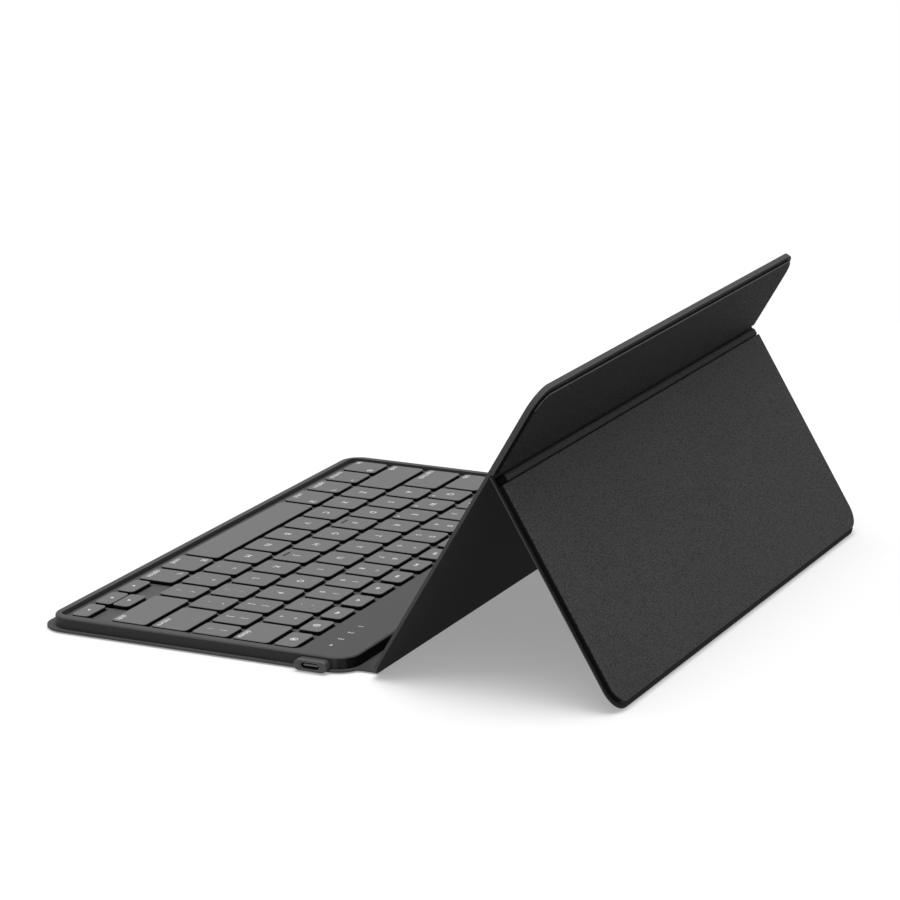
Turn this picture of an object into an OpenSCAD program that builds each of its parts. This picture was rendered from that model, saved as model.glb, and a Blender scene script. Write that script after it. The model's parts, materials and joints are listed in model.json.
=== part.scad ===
// Slim keyboard with a wrap-round cover that folds into an A-shaped stand.
// X runs along the key rows, Y points from the front edge to the stand, Z is up.
// The origin is on the floor, under the middle of the keyboard deck.

/* [Keys] */
// distance from one key to the next
key_pitch = 19; // [14:0.5:24]
// gap between two neighbouring key tops
key_gap = 2.6; // [1.5:0.1:5]
// width of the whole key block, counted in key pitches
block_pitches = 14.3; // [14.3:0.1:15.5]
// gap between two function keys
function_gap = 4.1; // [2:0.1:6]
// how much wider the first and last function keys are than the others
function_end_extra = 2.9; // [0:0.1:8]
// front-to-back size of a function key
function_depth = 9.9; // [7:0.1:16]
// gap between the two stacked arrow keys
arrow_gap = 0.7; // [0.5:0.1:1.5]
// corner radius of a key top
key_radius = 1.5; // [0.5:0.1:3]
// thickness of a key cap
cap_thickness = 1.6; // [1.2:0.1:3]
// how far a key goes down
key_travel = 1.2; // [0.5:0.1:2]
// clearance between a key cap and its hole
hole_clearance = 0.35; // [0.2:0.05:0.6]

/* [Deck] */
// full height of the deck above its wrap
deck_height = 5; // [4.8:0.1:9]
// how far the key tops lie below the rim
key_recess = 0.4; // [0:0.1:2]
// how far the tray floor lies below the key tops
tray_depth = 1.4; // [0.8:0.1:2]
// width of the raised rim at the left and right
rim_side = 4.1; // [3.4:0.1:8]
// width of the raised rim at the front
rim_front = 3.5; // [3.4:0.1:8]
// gap between the end keys and the side rims
tray_side_gap = 2.9; // [1:0.1:6]
// gap between the bottom key row and the front rim
tray_front_gap = 4.2; // [1:0.1:8]
// gap between the function keys and the rear shelf
tray_rear_gap = 3.2; // [1:0.1:8]
// front-to-back size of the flat shelf behind the keys
shelf_depth = 25.1; // [20:0.1:40]
// corner radius of the deck
deck_radius = 10; // [6:0.5:16]
// corner radius of the key tray
tray_radius = 3.5; // [1:0.5:5]
// thickness of the deck's outer walls below the tray
wall = 2; // [1.4:0.1:2.6]
// thickness of the shelf's top wall
top_wall = 1.2; // [0.8:0.1:2]

/* [Wrap and stand] */
// thickness of the flexible wrap
wrap_thickness = 1; // [0.8:0.1:1.4]
// how far the wrap stands out past the deck
wrap_lip = 1.6; // [0.5:0.1:4]
// how far the wrap stands out past the deck's front edge
wrap_front_lip = 3.8; // [0.5:0.1:6]
// width of the free web between deck and stand, from crease to crease
web_length = 7.5; // [6.5:0.1:14]
// how much narrower the web is than the wrap, at each end
web_inset = 7.2; // [3:0.1:12]
// length of the front panel, from its crease to its top edge
panel_length = 145.2; // [120:0.1:200]
// angle of the front panel above the floor
panel_angle = 60; // [50:1:75]
// thickness of the panel's soft front lining
lining_thickness = 0.5; // [0.4:0.1:1]
// thickness of the panel's stiff board
board_thickness = 0.9; // [0.6:0.1:2]
// distance along the panel from its crease to the leg's hinge
leg_hinge_height = 103.2; // [80:0.1:115]
// angle of the leg above the floor
leg_angle = 59; // [50:1:75]
// thickness of the leg's skin
leg_skin = 0.8; // [0.6:0.1:1.2]
// thickness of the leg's padded board
leg_board_thickness = 2.3; // [1.8:0.1:4]
// thickness of the skin on the panel's upper back
cover_skin_thickness = 0.9; // [0.6:0.1:1.4]
// thickness of the board on the panel's upper back
cover_board_thickness = 1.2; // [1.1:0.1:3]
// how far the boards lie inside the skin's side edges
board_side_inset = 1.6; // [0.8:0.1:4]
// how far the boards lie inside the skin's end edges
board_end_inset = 2.2; // [1:0.1:5]
// top corner radius of the panel and foot corner radius of the leg
stand_radius = 10.5; // [5:0.5:16]
// bottom corner radius of the panel
panel_foot_radius = 7; // [3:0.5:10]
// width of the ridge strip at the top of the leg
ridge_width = 3.5; // [2.5:0.1:8]
// room for the ridge strip below the board on the panel's upper back
ridge_room = 1.2; // [1:0.1:3]
// height of the ridge strip above the leg's skin
ridge_height = 1.5; // [0.8:0.1:2]
// how far the ridge strip's upper edge is bevelled
ridge_bevel = 1.2; // [0.6:0.1:2]

/* [Charging socket] */
// width of the socket's bezel
bezel_width = 14.7; // [12:0.1:18]
// height of the socket's bezel
bezel_height = 4.7; // [4.4:0.1:5]
// how far the bezel stands out past the deck wall
bezel_reach = 4.6; // [2:0.1:6]
// how far the bezel reaches into the deck wall
bezel_seat = 2.8; // [1.5:0.1:4]
// how far the socket lies inside the bezel's face
socket_recess = 0.4; // [0.1:0.1:1]
// distance from the deck's rear edge to the socket's middle
socket_setback = 15.8; // [12:0.1:30]
// outer width of the metal socket shell
socket_width = 8.94; // [8.9:0.01:9]
// outer height of the metal socket shell
socket_height = 3.26; // [3.2:0.01:3.3]
// wall of the metal socket shell
socket_wall = 0.3; // [0.2:0.05:0.4]
// depth of the socket
socket_depth = 7.3; // [6:0.1:9]
// width of the contact tongue
tongue_width = 6.7; // [6:0.1:7]
// how far the contact tongue stops short of the socket's mouth
tongue_recess = 1; // [0.5:0.1:2]
// width of the circuit board's tail at the socket
tail_width = 8; // [6:0.5:10]
// thickness of the contact tongue
tongue_thickness = 0.7; // [0.5:0.1:0.9]

/* [Indicator lights] */
// distance between two lights
light_pitch = 9.1; // [5:0.1:12]
// distance from the deck's right edge to the nearest light
light_side_setback = 14.2; // [12:0.1:30]
// distance from the deck's rear edge to the lights
light_rear_setback = 17.8; // [10:0.1:20]
// diameter of a light's lens
light_diameter = 0.9; // [0.6:0.1:2]

/* [Inside the deck] */
// thickness of the bottom cover
bottom_thickness = 0.8; // [0.6:0.1:1.2]
// thickness of the steel switch plate
plate_thickness = 0.3; // [0.2:0.05:0.5]
// thickness of the rubber switch sheet
sheet_thickness = 0.3; // [0.2:0.05:0.5]
// height of a rubber dome above its sheet when squeezed flat
dome_height = 0.25; // [0.1:0.05:0.3]
// diameter of a rubber dome
dome_diameter = 5; // [3:0.1:6]
// thickness of the tray floor between the keys
tray_thickness = 0.8; // [0.6:0.1:1.2]
// how far the tray floor reaches under the rim
tray_overlap = 1.2; // [0.5:0.1:1.4]
// thickness of a battery cell
cell_thickness = 2.6; // [2:0.1:2.8]
// length of the circuit board
circuit_length = 74; // [50:1:80]
// thickness of the circuit board
circuit_thickness = 0.8; // [0.6:0.1:1.2]
// side of the controller chip
chip_side = 7; // [4:0.5:10]
// thickness of the controller chip
chip_thickness = 0.9; // [0.6:0.1:1.2]

/* [Magnets] */
// length of a magnet
magnet_length = 20; // [8:1:30]
// front-to-back size of a magnet in a board
magnet_depth = 6; // [4:0.5:10]
// distance of the rim magnets from the deck's front face
rim_magnet_setback = 0.8; // [0.6:0.1:1.5]
// thickness of a magnet in the panel's board
cover_magnet_thickness = 0.7; // [0.5:0.1:0.9]
// thickness of a magnet in the leg
leg_magnet_thickness = 1.2; // [0.8:0.1:1.6]
// front-to-back size of a magnet in the deck's rim
rim_magnet_depth = 1.8; // [1.2:0.1:2]
// height of a magnet in the deck's rim
rim_magnet_height = 1; // [0.6:0.1:1.1]
// distance of the board magnets from their board's edge
magnet_edge = 2; // [1:0.5:10]
// length of the steel strip in the panel
strip_length = 220; // [100:5:230]
// thickness of the steel strip in the panel
strip_thickness = 0.4; // [0.2:0.05:0.4]
// magnets in each row
magnet_count = 4; // [2:1:6]
// distance between two magnets in a row
magnet_pitch = 60; // [40:1:70]

/* [Fits] */
// clearance between pieces that slide or sit in each other
fit = 0.15; // [0.1:0.05:0.3]
// room left around the battery cells and the circuit board
room_gap = 2; // [1:0.5:4]
// clearance between the leg's crease and the panel behind it
leg_crease_gap = 0.35; // [0.3:0.05:0.6]
// clearance between a crease's bead and its neighbour
crease_gap = 0.3; // [0.25:0.05:0.5]

/* [Hidden] */
$fn = 64;
sliver = 0.01;
edge_radius = 0.5;
dark_grey = [0.24, 0.24, 0.25];
mid_grey = [0.36, 0.36, 0.37];
key_grey = [0.46, 0.46, 0.47];
black = [0.08, 0.08, 0.08];
steel = [0.7, 0.7, 0.72];
green = [0.1, 0.35, 0.2];

// Key rows: the width of each key in key pitches, from left to right.
row_space = [1, 1, 1, 1.15, 5, 1.15, 1, 1, 1, 1];
row_shift = [2.15, 1, 1, 1, 1, 1, 1, 1, 1, 1, 1, 2.15];
row_home = [1.65, 1, 1, 1, 1, 1, 1, 1, 1, 1, 1, 1, 1.65];
row_tab = [1.4, 1, 1, 1, 1, 1, 1, 1, 1, 1, 1, 1, 1, 0.9];
row_number = [0.93, 1, 1, 1, 1, 1, 1, 1, 1, 1, 1, 1, 1, 1.37];
rows = [row_space, row_shift, row_home, row_tab, row_number];
natural_pitches = 14.3;
row_count = 5;
function_count = 14;

block_width = block_pitches * key_pitch - key_gap;
block_depth = row_count * key_pitch + function_depth;
cap_depth = key_pitch - key_gap;
half_depth = (cap_depth - arrow_gap) / 2;
widen = block_pitches / natural_pitches;
function_width = (block_width - (function_count - 1) * function_gap
                  - 2 * function_end_extra) / function_count;
function_end = function_width + function_end_extra;
first_arrow = 7;

tray_width = block_width + 2 * tray_side_gap;
tray_length = block_depth + tray_front_gap + tray_rear_gap;
deck_width = tray_width + 2 * rim_side;
deck_depth = rim_front + tray_length + shelf_depth;
deck_bottom = wrap_thickness;
deck_top = deck_bottom + deck_height;
deck_rear = deck_depth / 2;
tray_front = -deck_depth / 2 + rim_front;
tray_rear = tray_front + tray_length;
keys_front = tray_front + tray_front_gap;
function_front = keys_front + row_count * key_pitch;

cap_top = deck_top - key_recess;
cap_bottom = cap_top - cap_thickness;
tray_top = cap_top - tray_depth;
tray_bottom = tray_top - tray_thickness;
bottom_top = deck_bottom + bottom_thickness;
plate_top = bottom_top + plate_thickness;
sheet_top = plate_top + sheet_thickness;
cavity_width = deck_width - 2 * wall;
cavity_depth = deck_depth - 2 * wall;
cavity_radius = deck_radius - wall;
shelf_ceiling = deck_top - top_wall;
shelf_room_front = tray_rear + wall;
shelf_room_rear = deck_rear - wall;
shelf_middle = (shelf_room_front + shelf_room_rear) / 2;
shelf_room_width = deck_width - 2 * deck_radius;
room_width = tray_width + 2 * tray_overlap + 2 * fit;
room_length = tray_length + 2 * tray_overlap + 2 * fit;
room_radius = tray_radius + tray_overlap + fit;
tray_middle = (tray_front + tray_rear) / 2;

wrap_width = deck_width + 2 * wrap_lip;
wrap_front = -deck_depth / 2 - wrap_front_lip;
wrap_rear = deck_rear + wrap_lip;
wrap_radius = deck_radius + wrap_lip;
bead_radius = wrap_thickness / 2;
base_crease_y = wrap_rear + bead_radius + crease_gap;
panel_crease_y = base_crease_y + web_length;
crease_z = wrap_thickness / 2;
web_width = wrap_width - 2 * web_inset;

board_back = -wrap_thickness / 2;
board_front = board_back + board_thickness;
lining_front = board_front + lining_thickness;
panel_start = bead_radius + crease_gap;
leg_bead = leg_skin / 2;
leg_axis_depth = board_back - leg_bead - leg_crease_gap;
leg_start = leg_bead + crease_gap;
cover_back = board_back - cover_skin_thickness;
cover_board_back = cover_back - cover_board_thickness;
board_width = wrap_width - 2 * board_side_inset;
board_radius = stand_radius - board_side_inset;
cover_start = leg_hinge_height + leg_bead + crease_gap + fit;
cover_board_start = cover_start + ridge_room;

// The leg's hinge in the whole model's own axes, and the leg's length down to the floor.
leg_axis_y = panel_crease_y + leg_hinge_height * cos(panel_angle)
             - leg_axis_depth * sin(panel_angle);
leg_axis_z = crease_z + leg_hinge_height * sin(panel_angle)
             + leg_axis_depth * cos(panel_angle);
leg_length = (leg_axis_z - leg_bead * cos(leg_angle)) / sin(leg_angle);
ridge_start = leg_start + fit;
leg_board_start = ridge_start + ridge_width + fit;

socket_y = deck_rear - socket_setback;
bezel_floor_gap = 0.1;
socket_z = bezel_height / 2 + bezel_floor_gap;
bezel_outer = deck_width / 2 + bezel_reach;
bezel_inner = deck_width / 2 - bezel_seat;
socket_outer = bezel_outer - socket_recess;
socket_inner = socket_outer - socket_depth;
seat_inner = min(bezel_inner, socket_inner) - fit;
light_y = deck_rear - light_rear_setback;
light_x = deck_width / 2 - light_side_setback;
light_count = 4;
board_depth = shelf_room_rear - shelf_room_front - 2 * room_gap;
cell_length = (shelf_room_width - circuit_length - 4 * room_gap) / 2;
circuit_right = shelf_room_width / 2 - room_gap;
circuit_x = circuit_right - circuit_length / 2;
circuit_bottom = bottom_top + fit;
circuit_top = circuit_bottom + circuit_thickness;
cell_left = -shelf_room_width / 2 + room_gap;
rim_magnet_y = -deck_depth / 2 + rim_magnet_setback + rim_magnet_depth / 2;
rim_magnet_roof = tray_top + rim_magnet_height + 2 * fit;
cover_magnet_y = panel_length - board_end_inset - magnet_edge - magnet_depth / 2;
leg_magnet_y = leg_length - board_end_inset - magnet_edge - magnet_depth / 2;
strip_y = leg_hinge_height - leg_magnet_y;

function sum_to(list, n) = n <= 0 ? 0 : list[n - 1] + sum_to(list, n - 1);
function key_width(row, n) = rows[row][n] * key_pitch * widen - key_gap;
function key_x(row, n) = -block_width / 2 - key_gap / 2
  + (sum_to(rows[row], n) + rows[row][n] / 2) * key_pitch * widen;
function key_y(row) = keys_front + row * key_pitch + cap_depth / 2;
function half_key_y(back) = key_y(0) + (back ? 1 : -1) * (cap_depth - half_depth) / 2;
function last_full(row) = row == 0 ? first_arrow - 1 : len(rows[row]) - 1;
function function_key_width(n) = n == 0 || n == function_count - 1 ? function_end : function_width;
function function_key_x(n) = n == 0 ? -block_width / 2 + function_end / 2
  : n == function_count - 1 ? block_width / 2 - function_end / 2
  : -block_width / 2 + function_end + function_gap + (n - 1) * (function_width + function_gap)
    + function_width / 2;

module rounded(width, depth, radius) {
  square([width - 2 * radius, depth], center = true);
  square([width, depth - 2 * radius], center = true);
  for (x = [-1, 1], y = [-1, 1])
    translate([x * (width / 2 - radius), y * (depth / 2 - radius)]) circle(r = radius);
}

module slab(width, depth, radius, bottom, top) {
  translate([0, 0, bottom]) linear_extrude(height = top - bottom) rounded(width, depth, radius);
}

// A sheet from y = start to y = finish, with its own corner radius at each end.
module sheet(width, start, finish, start_radius, finish_radius) {
  polygon([[-width / 2, start + start_radius], [-width / 2, finish - finish_radius],
           [-width / 2 + finish_radius, finish], [width / 2 - finish_radius, finish],
           [width / 2, finish - finish_radius], [width / 2, start + start_radius],
           [width / 2 - start_radius, start], [-width / 2 + start_radius, start]]);
  for (x = [-1, 1]) {
    translate([x * (width / 2 - finish_radius), finish - finish_radius]) circle(r = finish_radius);
    translate([x * (width / 2 - start_radius), start + start_radius]) circle(r = start_radius);
  }
}

module stadium(width, height) {
  square([width - height, height], center = true);
  for (x = [-1, 1]) translate([x * (width - height) / 2, 0]) circle(d = height);
}

// A stadium bar along X at the charging socket.
module socket_bar(from, to, width, height) {
  translate([from, socket_y, socket_z]) rotate([90, 0, 90])
    linear_extrude(height = to - from) stadium(width, height);
}

module cap(x, y, width, depth) {
  translate([x, y, 0]) slab(width, depth, key_radius, cap_bottom, cap_top);
}

module row_key(row, n) {
  cap(key_x(row, n), key_y(row), key_width(row, n), cap_depth);
}

module row_keys(row, first, last) {
  for (n = [first:last]) row_key(row, n);
}

module function_key(n) {
  cap(function_key_x(n), function_front + function_depth / 2, function_key_width(n),
      function_depth);
}

module half_key(n, back) {
  cap(key_x(0, n), half_key_y(back), key_width(0, n), half_depth);
}

module key_hole(x, y, width, depth) {
  translate([x - width / 2 - hole_clearance, y - depth / 2 - hole_clearance,
             tray_bottom - sliver])
    cube([width + 2 * hole_clearance, depth + 2 * hole_clearance,
          tray_thickness + 2 * sliver]);
}

module magnet_row(y, depth, bottom, top, grow) {
  for (n = [0:magnet_count - 1])
    translate([(n - (magnet_count - 1) / 2) * magnet_pitch - magnet_length / 2 - grow,
               y - depth / 2 - grow, bottom])
      cube([magnet_length + 2 * grow, depth + 2 * grow, top - bottom]);
}

module on_panel() {
  translate([0, panel_crease_y, crease_z]) rotate([panel_angle, 0, 0]) children();
}

module on_leg() {
  translate([0, leg_axis_y, leg_axis_z]) rotate([-leg_angle, 0, 0]) children();
}

module bead(width, y, z, radius) {
  translate([-width / 2, y, z]) rotate([0, 90, 0]) cylinder(r = radius, h = width);
}

module base_wrap() {
  color(dark_grey) difference() {
    linear_extrude(height = wrap_thickness)
      sheet(wrap_width, wrap_front, wrap_rear, wrap_radius, wrap_radius);
    socket_bar(seat_inner, bezel_outer, bezel_width + 2 * fit, bezel_height + 2 * fit);
  }
}

module spine_web() {
  color(dark_grey) {
    translate([-web_width / 2, base_crease_y, 0])
      cube([web_width, web_length, wrap_thickness]);
    bead(web_width, base_crease_y, crease_z, bead_radius);
    bead(web_width, panel_crease_y, crease_z, bead_radius);
  }
}

module deck_shell() {
  color(mid_grey) difference() {
    slab(deck_width, deck_depth, deck_radius, deck_bottom, deck_top);
    // tray for the keys
    translate([0, tray_middle, 0])
      slab(tray_width, tray_length, tray_radius, tray_top - sliver, deck_top + sliver);
    // room under the tray, with a ledge for the tray floor
    translate([0, tray_middle, 0])
      slab(room_width, room_length, room_radius, deck_bottom - sliver, tray_top);
    // room under the shelf
    translate([-shelf_room_width / 2, tray_rear, deck_bottom - sliver])
      cube([shelf_room_width, shelf_room_rear - tray_rear, tray_top - deck_bottom + sliver]);
    translate([-shelf_room_width / 2, shelf_room_front, deck_bottom - sliver])
      cube([shelf_room_width, shelf_room_rear - shelf_room_front,
            shelf_ceiling - deck_bottom + sliver]);
    // seat for the bottom cover
    slab(cavity_width, cavity_depth, cavity_radius, deck_bottom - sliver, bottom_top);
    // pockets for the rim magnets
    magnet_row(rim_magnet_y, rim_magnet_depth, tray_top - sliver, rim_magnet_roof, fit);
    // holes for the lights
    for (n = [0:light_count - 1])
      translate([light_x - n * light_pitch, light_y, shelf_ceiling - sliver])
        cylinder(d = light_diameter + fit, h = top_wall + 2 * sliver);
    // seat for the socket and the passage for its tail
    socket_bar(seat_inner, bezel_outer, bezel_width + 2 * fit, bezel_height + 2 * fit);
    translate([circuit_right, socket_y - tail_width / 2 - fit, deck_bottom - sliver])
      cube([seat_inner + fit - circuit_right, tail_width + 2 * fit, tray_top - deck_bottom]);
  }
}

module tray_floor() {
  color(dark_grey) difference() {
    translate([0, tray_middle, 0])
      slab(room_width - 2 * fit, room_length - 2 * fit, room_radius - fit, tray_bottom,
           tray_top);
    for (row = [0:row_count - 1], n = [0:last_full(row)])
      key_hole(key_x(row, n), key_y(row), key_width(row, n), cap_depth);
    for (n = [first_arrow, first_arrow + 2])
      key_hole(key_x(0, n), half_key_y(false), key_width(0, n), half_depth);
    key_hole(key_x(0, first_arrow + 1), key_y(0), key_width(0, first_arrow + 1), cap_depth);
    for (n = [0:function_count - 1])
      key_hole(function_key_x(n), function_front + function_depth / 2, function_key_width(n),
               function_depth);
  }
}

module bottom_cover() {
  color(mid_grey) difference() {
    slab(cavity_width - 2 * fit, cavity_depth - 2 * fit, cavity_radius - fit, deck_bottom,
         bottom_top);
    socket_bar(seat_inner - fit, bezel_outer, bezel_width + 2 * fit,
               bezel_height + 2 * fit);
  }
}

module switch_plate() {
  color(steel) translate([0, tray_middle, 0])
    slab(room_width - 4 * fit, room_length - 4 * fit, room_radius - fit, bottom_top, plate_top);
}

module dome(x, y) {
  translate([x, y, sheet_top])
    cylinder(d1 = dome_diameter, d2 = dome_diameter / 2, h = dome_height);
}

module dome_sheet() {
  color(black) {
    translate([0, tray_middle, 0])
      slab(room_width - 4 * fit, room_length - 4 * fit, room_radius - fit, plate_top,
           sheet_top);
    for (row = [0:row_count - 1], n = [0:last_full(row)]) dome(key_x(row, n), key_y(row));
    for (n = [0:2]) dome(key_x(0, first_arrow + n), half_key_y(false));
    dome(key_x(0, first_arrow + 1), half_key_y(true));
    for (n = [0:function_count - 1])
      dome(function_key_x(n), function_front + function_depth / 2);
  }
}

module circuit_board() {
  color(green) {
    translate([circuit_right - circuit_length, shelf_middle - board_depth / 2,
               circuit_bottom])
      cube([circuit_length, board_depth, circuit_thickness]);
    translate([circuit_right - sliver, socket_y - tail_width / 2, circuit_bottom])
      cube([socket_inner - fit - circuit_right + sliver, tail_width, circuit_thickness]);
  }
  color(black) translate([circuit_x - chip_side / 2, shelf_middle - chip_side / 2,
                          circuit_top - sliver])
    cube([chip_side, chip_side, chip_thickness]);
}

module battery_cells() {
  color(steel) for (n = [0, 1])
    translate([cell_left + n * (cell_length + room_gap), shelf_middle - board_depth / 2,
               bottom_top + fit])
      cube([cell_length, board_depth, cell_thickness]);
}

module rim_magnets() {
  color(steel) magnet_row(rim_magnet_y, rim_magnet_depth, tray_top + fit,
                          tray_top + fit + rim_magnet_height, 0);
}

module indicator_lights() {
  color([0.9, 0.9, 0.9]) for (n = [0:light_count - 1])
    translate([light_x - n * light_pitch, light_y, circuit_top + fit])
      cylinder(d = light_diameter, h = deck_top - circuit_top - fit);
}

module socket_bezel() {
  color(mid_grey) difference() {
    socket_bar(bezel_inner, bezel_outer, bezel_width, bezel_height);
    socket_bar(bezel_inner - sliver, bezel_outer + sliver, socket_width + fit,
               socket_height + fit);
  }
}

module socket_shell() {
  color(steel) difference() {
    socket_bar(socket_inner, socket_outer, socket_width, socket_height);
    socket_bar(socket_inner + socket_wall, socket_outer + sliver,
               socket_width - 2 * socket_wall, socket_height - 2 * socket_wall);
  }
}

module socket_tongue() {
  color(black) translate([socket_inner + socket_wall, socket_y - tongue_width / 2,
                          socket_z - tongue_thickness / 2])
    cube([socket_depth - socket_wall - tongue_recess, tongue_width, tongue_thickness]);
}

module panel_board() {
  color(dark_grey) on_panel() difference() {
    translate([0, 0, board_back]) linear_extrude(height = board_thickness)
      sheet(wrap_width, panel_start, panel_length, panel_foot_radius, stand_radius);
    translate([-strip_length / 2 - fit, strip_y - magnet_depth / 2 - fit,
               board_front - strip_thickness])
      cube([strip_length + 2 * fit, magnet_depth + 2 * fit, strip_thickness + sliver]);
  }
}

module panel_strip() {
  color(steel) on_panel() translate([-strip_length / 2, strip_y - magnet_depth / 2,
                                     board_front - strip_thickness])
    cube([strip_length, magnet_depth, strip_thickness]);
}

module panel_lining() {
  color(dark_grey) on_panel() translate([0, 0, board_front])
    linear_extrude(height = lining_thickness)
      sheet(wrap_width, panel_start, panel_length, panel_foot_radius, stand_radius);
}

module cover_skin() {
  color(dark_grey) on_panel() translate([0, 0, cover_back])
    linear_extrude(height = cover_skin_thickness)
      sheet(wrap_width, cover_start, panel_length, edge_radius, stand_radius);
}

module cover_board() {
  color(dark_grey) on_panel() difference() {
    translate([0, 0, cover_board_back]) linear_extrude(height = cover_board_thickness)
      sheet(board_width, cover_board_start, panel_length - board_end_inset, edge_radius,
            board_radius);
    magnet_row(cover_magnet_y, magnet_depth, cover_back - cover_magnet_thickness,
               cover_back + sliver, fit);
  }
}

module cover_magnets() {
  color(steel) on_panel() magnet_row(cover_magnet_y, magnet_depth,
                                     cover_back - cover_magnet_thickness, cover_back, 0);
}

module leg_skin_sheet() {
  color(dark_grey) on_leg() {
    translate([0, 0, -leg_bead]) linear_extrude(height = leg_skin)
      sheet(wrap_width, 0, leg_length, edge_radius, stand_radius);
    bead(wrap_width - 2 * edge_radius, 0, 0, leg_bead);
  }
}

module leg_board() {
  color(dark_grey) on_leg() difference() {
    translate([0, 0, leg_bead]) linear_extrude(height = leg_board_thickness)
      sheet(board_width, leg_board_start, leg_length - board_end_inset, edge_radius,
            board_radius);
    magnet_row(leg_magnet_y, magnet_depth, leg_bead - sliver,
               leg_bead + leg_magnet_thickness, fit);
  }
}

module leg_magnets() {
  color(steel) on_leg() magnet_row(leg_magnet_y, magnet_depth, leg_bead,
                                   leg_bead + leg_magnet_thickness, 0);
}

module ridge_strip() {
  color(mid_grey) on_leg() translate([-board_width / 2, 0, 0]) rotate([90, 0, 90])
    linear_extrude(height = board_width)
      polygon([[ridge_start, leg_bead], [ridge_start + ridge_width, leg_bead],
               [ridge_start + ridge_width, leg_bead + ridge_height],
               [ridge_start + ridge_bevel, leg_bead + ridge_height]]);
}

module fn_key() {
  color(key_grey) row_key(0, 0);
}

module control_key() {
  color(key_grey) row_key(0, 1);
}

module left_option_key() {
  color(key_grey) row_key(0, 2);
}

module left_command_key() {
  color(key_grey) row_key(0, 3);
}

module space_key() {
  color(key_grey) row_key(0, 4);
}

module right_command_key() {
  color(key_grey) row_key(0, 5);
}

module right_option_key() {
  color(key_grey) row_key(0, 6);
}

module left_arrow_key() {
  color(key_grey) half_key(first_arrow, false);
}

module up_arrow_key() {
  color(key_grey) half_key(first_arrow + 1, true);
}

module down_arrow_key() {
  color(key_grey) half_key(first_arrow + 1, false);
}

module right_arrow_key() {
  color(key_grey) half_key(first_arrow + 2, false);
}

module left_shift_key() {
  color(key_grey) row_key(1, 0);
}

module right_shift_key() {
  color(key_grey) row_key(1, 11);
}

module caps_lock_key() {
  color(key_grey) row_key(2, 0);
}

module return_key() {
  color(key_grey) row_key(2, 12);
}

module tab_key() {
  color(key_grey) row_key(3, 0);
}

module backslash_key() {
  color(key_grey) row_key(3, 13);
}

module grave_key() {
  color(key_grey) row_key(4, 0);
}

module delete_key() {
  color(key_grey) row_key(4, 13);
}

module escape_key() {
  color(key_grey) function_key(0);
}

module lock_key() {
  color(key_grey) function_key(function_count - 1);
}

module lower_letter_keys() {
  color(key_grey) row_keys(1, 1, 10);
}

module home_letter_keys() {
  color(key_grey) row_keys(2, 1, 11);
}

module upper_letter_keys() {
  color(key_grey) row_keys(3, 1, 12);
}

module number_keys() {
  color(key_grey) row_keys(4, 1, 12);
}

module function_keys() {
  color(key_grey) for (n = [1:function_count - 2]) function_key(n);
}

base_wrap();
spine_web();
deck_shell();
tray_floor();
bottom_cover();
switch_plate();
dome_sheet();
circuit_board();
battery_cells();
rim_magnets();
indicator_lights();
socket_bezel();
socket_shell();
socket_tongue();
panel_board();
panel_lining();
panel_strip();
cover_skin();
cover_board();
cover_magnets();
leg_skin_sheet();
leg_board();
leg_magnets();
ridge_strip();
space_key();
fn_key();
control_key();
left_option_key();
left_command_key();
right_command_key();
right_option_key();
left_arrow_key();
up_arrow_key();
down_arrow_key();
right_arrow_key();
left_shift_key();
right_shift_key();
caps_lock_key();
return_key();
tab_key();
backslash_key();
grave_key();
delete_key();
escape_key();
lock_key();
function_keys();
number_keys();
upper_letter_keys();
home_letter_keys();
lower_letter_keys();
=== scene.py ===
"""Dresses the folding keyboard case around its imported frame."""

import json
import logging
import math
from dataclasses import dataclass, replace
from enum import Enum
from typing import Iterable, Sequence

import bmesh
import bpy
from mathutils import Matrix, Vector


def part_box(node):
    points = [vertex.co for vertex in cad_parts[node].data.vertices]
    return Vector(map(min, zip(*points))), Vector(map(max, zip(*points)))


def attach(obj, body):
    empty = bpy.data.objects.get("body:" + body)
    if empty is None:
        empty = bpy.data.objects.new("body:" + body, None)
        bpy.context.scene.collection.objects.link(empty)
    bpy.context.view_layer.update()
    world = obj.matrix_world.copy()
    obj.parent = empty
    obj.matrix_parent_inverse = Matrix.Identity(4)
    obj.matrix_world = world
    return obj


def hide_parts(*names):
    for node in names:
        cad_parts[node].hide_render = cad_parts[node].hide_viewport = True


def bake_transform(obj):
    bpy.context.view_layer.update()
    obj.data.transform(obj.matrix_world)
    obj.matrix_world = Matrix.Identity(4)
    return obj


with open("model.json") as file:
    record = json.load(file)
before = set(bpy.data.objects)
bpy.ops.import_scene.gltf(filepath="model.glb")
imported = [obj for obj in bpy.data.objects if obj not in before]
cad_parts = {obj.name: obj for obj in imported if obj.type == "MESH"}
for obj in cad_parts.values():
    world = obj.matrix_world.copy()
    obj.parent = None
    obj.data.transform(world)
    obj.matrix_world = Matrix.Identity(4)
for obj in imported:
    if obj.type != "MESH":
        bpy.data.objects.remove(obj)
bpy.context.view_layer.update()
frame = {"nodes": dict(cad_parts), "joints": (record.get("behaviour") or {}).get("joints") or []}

log = logging.getLogger("keyboard_case")

MM = 0.001
MERGE_DISTANCE = 1e-6
LEAST_RADIUS = 0.02 * MM
LAYER_BENDS, SEAM_SHARE = 2.2, 0.3
PRINT_INDEX, SKIRT_SHADE_INDEX, HOMING_SHADE_INDEX = 1, 2, 3
DRIFT_SHARE, DRIFT_SCALE = 0.1, 0.012
RAMP_ENDS = (0.25, 0.75)
ROUGHNESS_SWING = 0.08
WAVE_BAND = 6.3
Point2 = tuple[float, float]
Profile = list[Point2]


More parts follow.
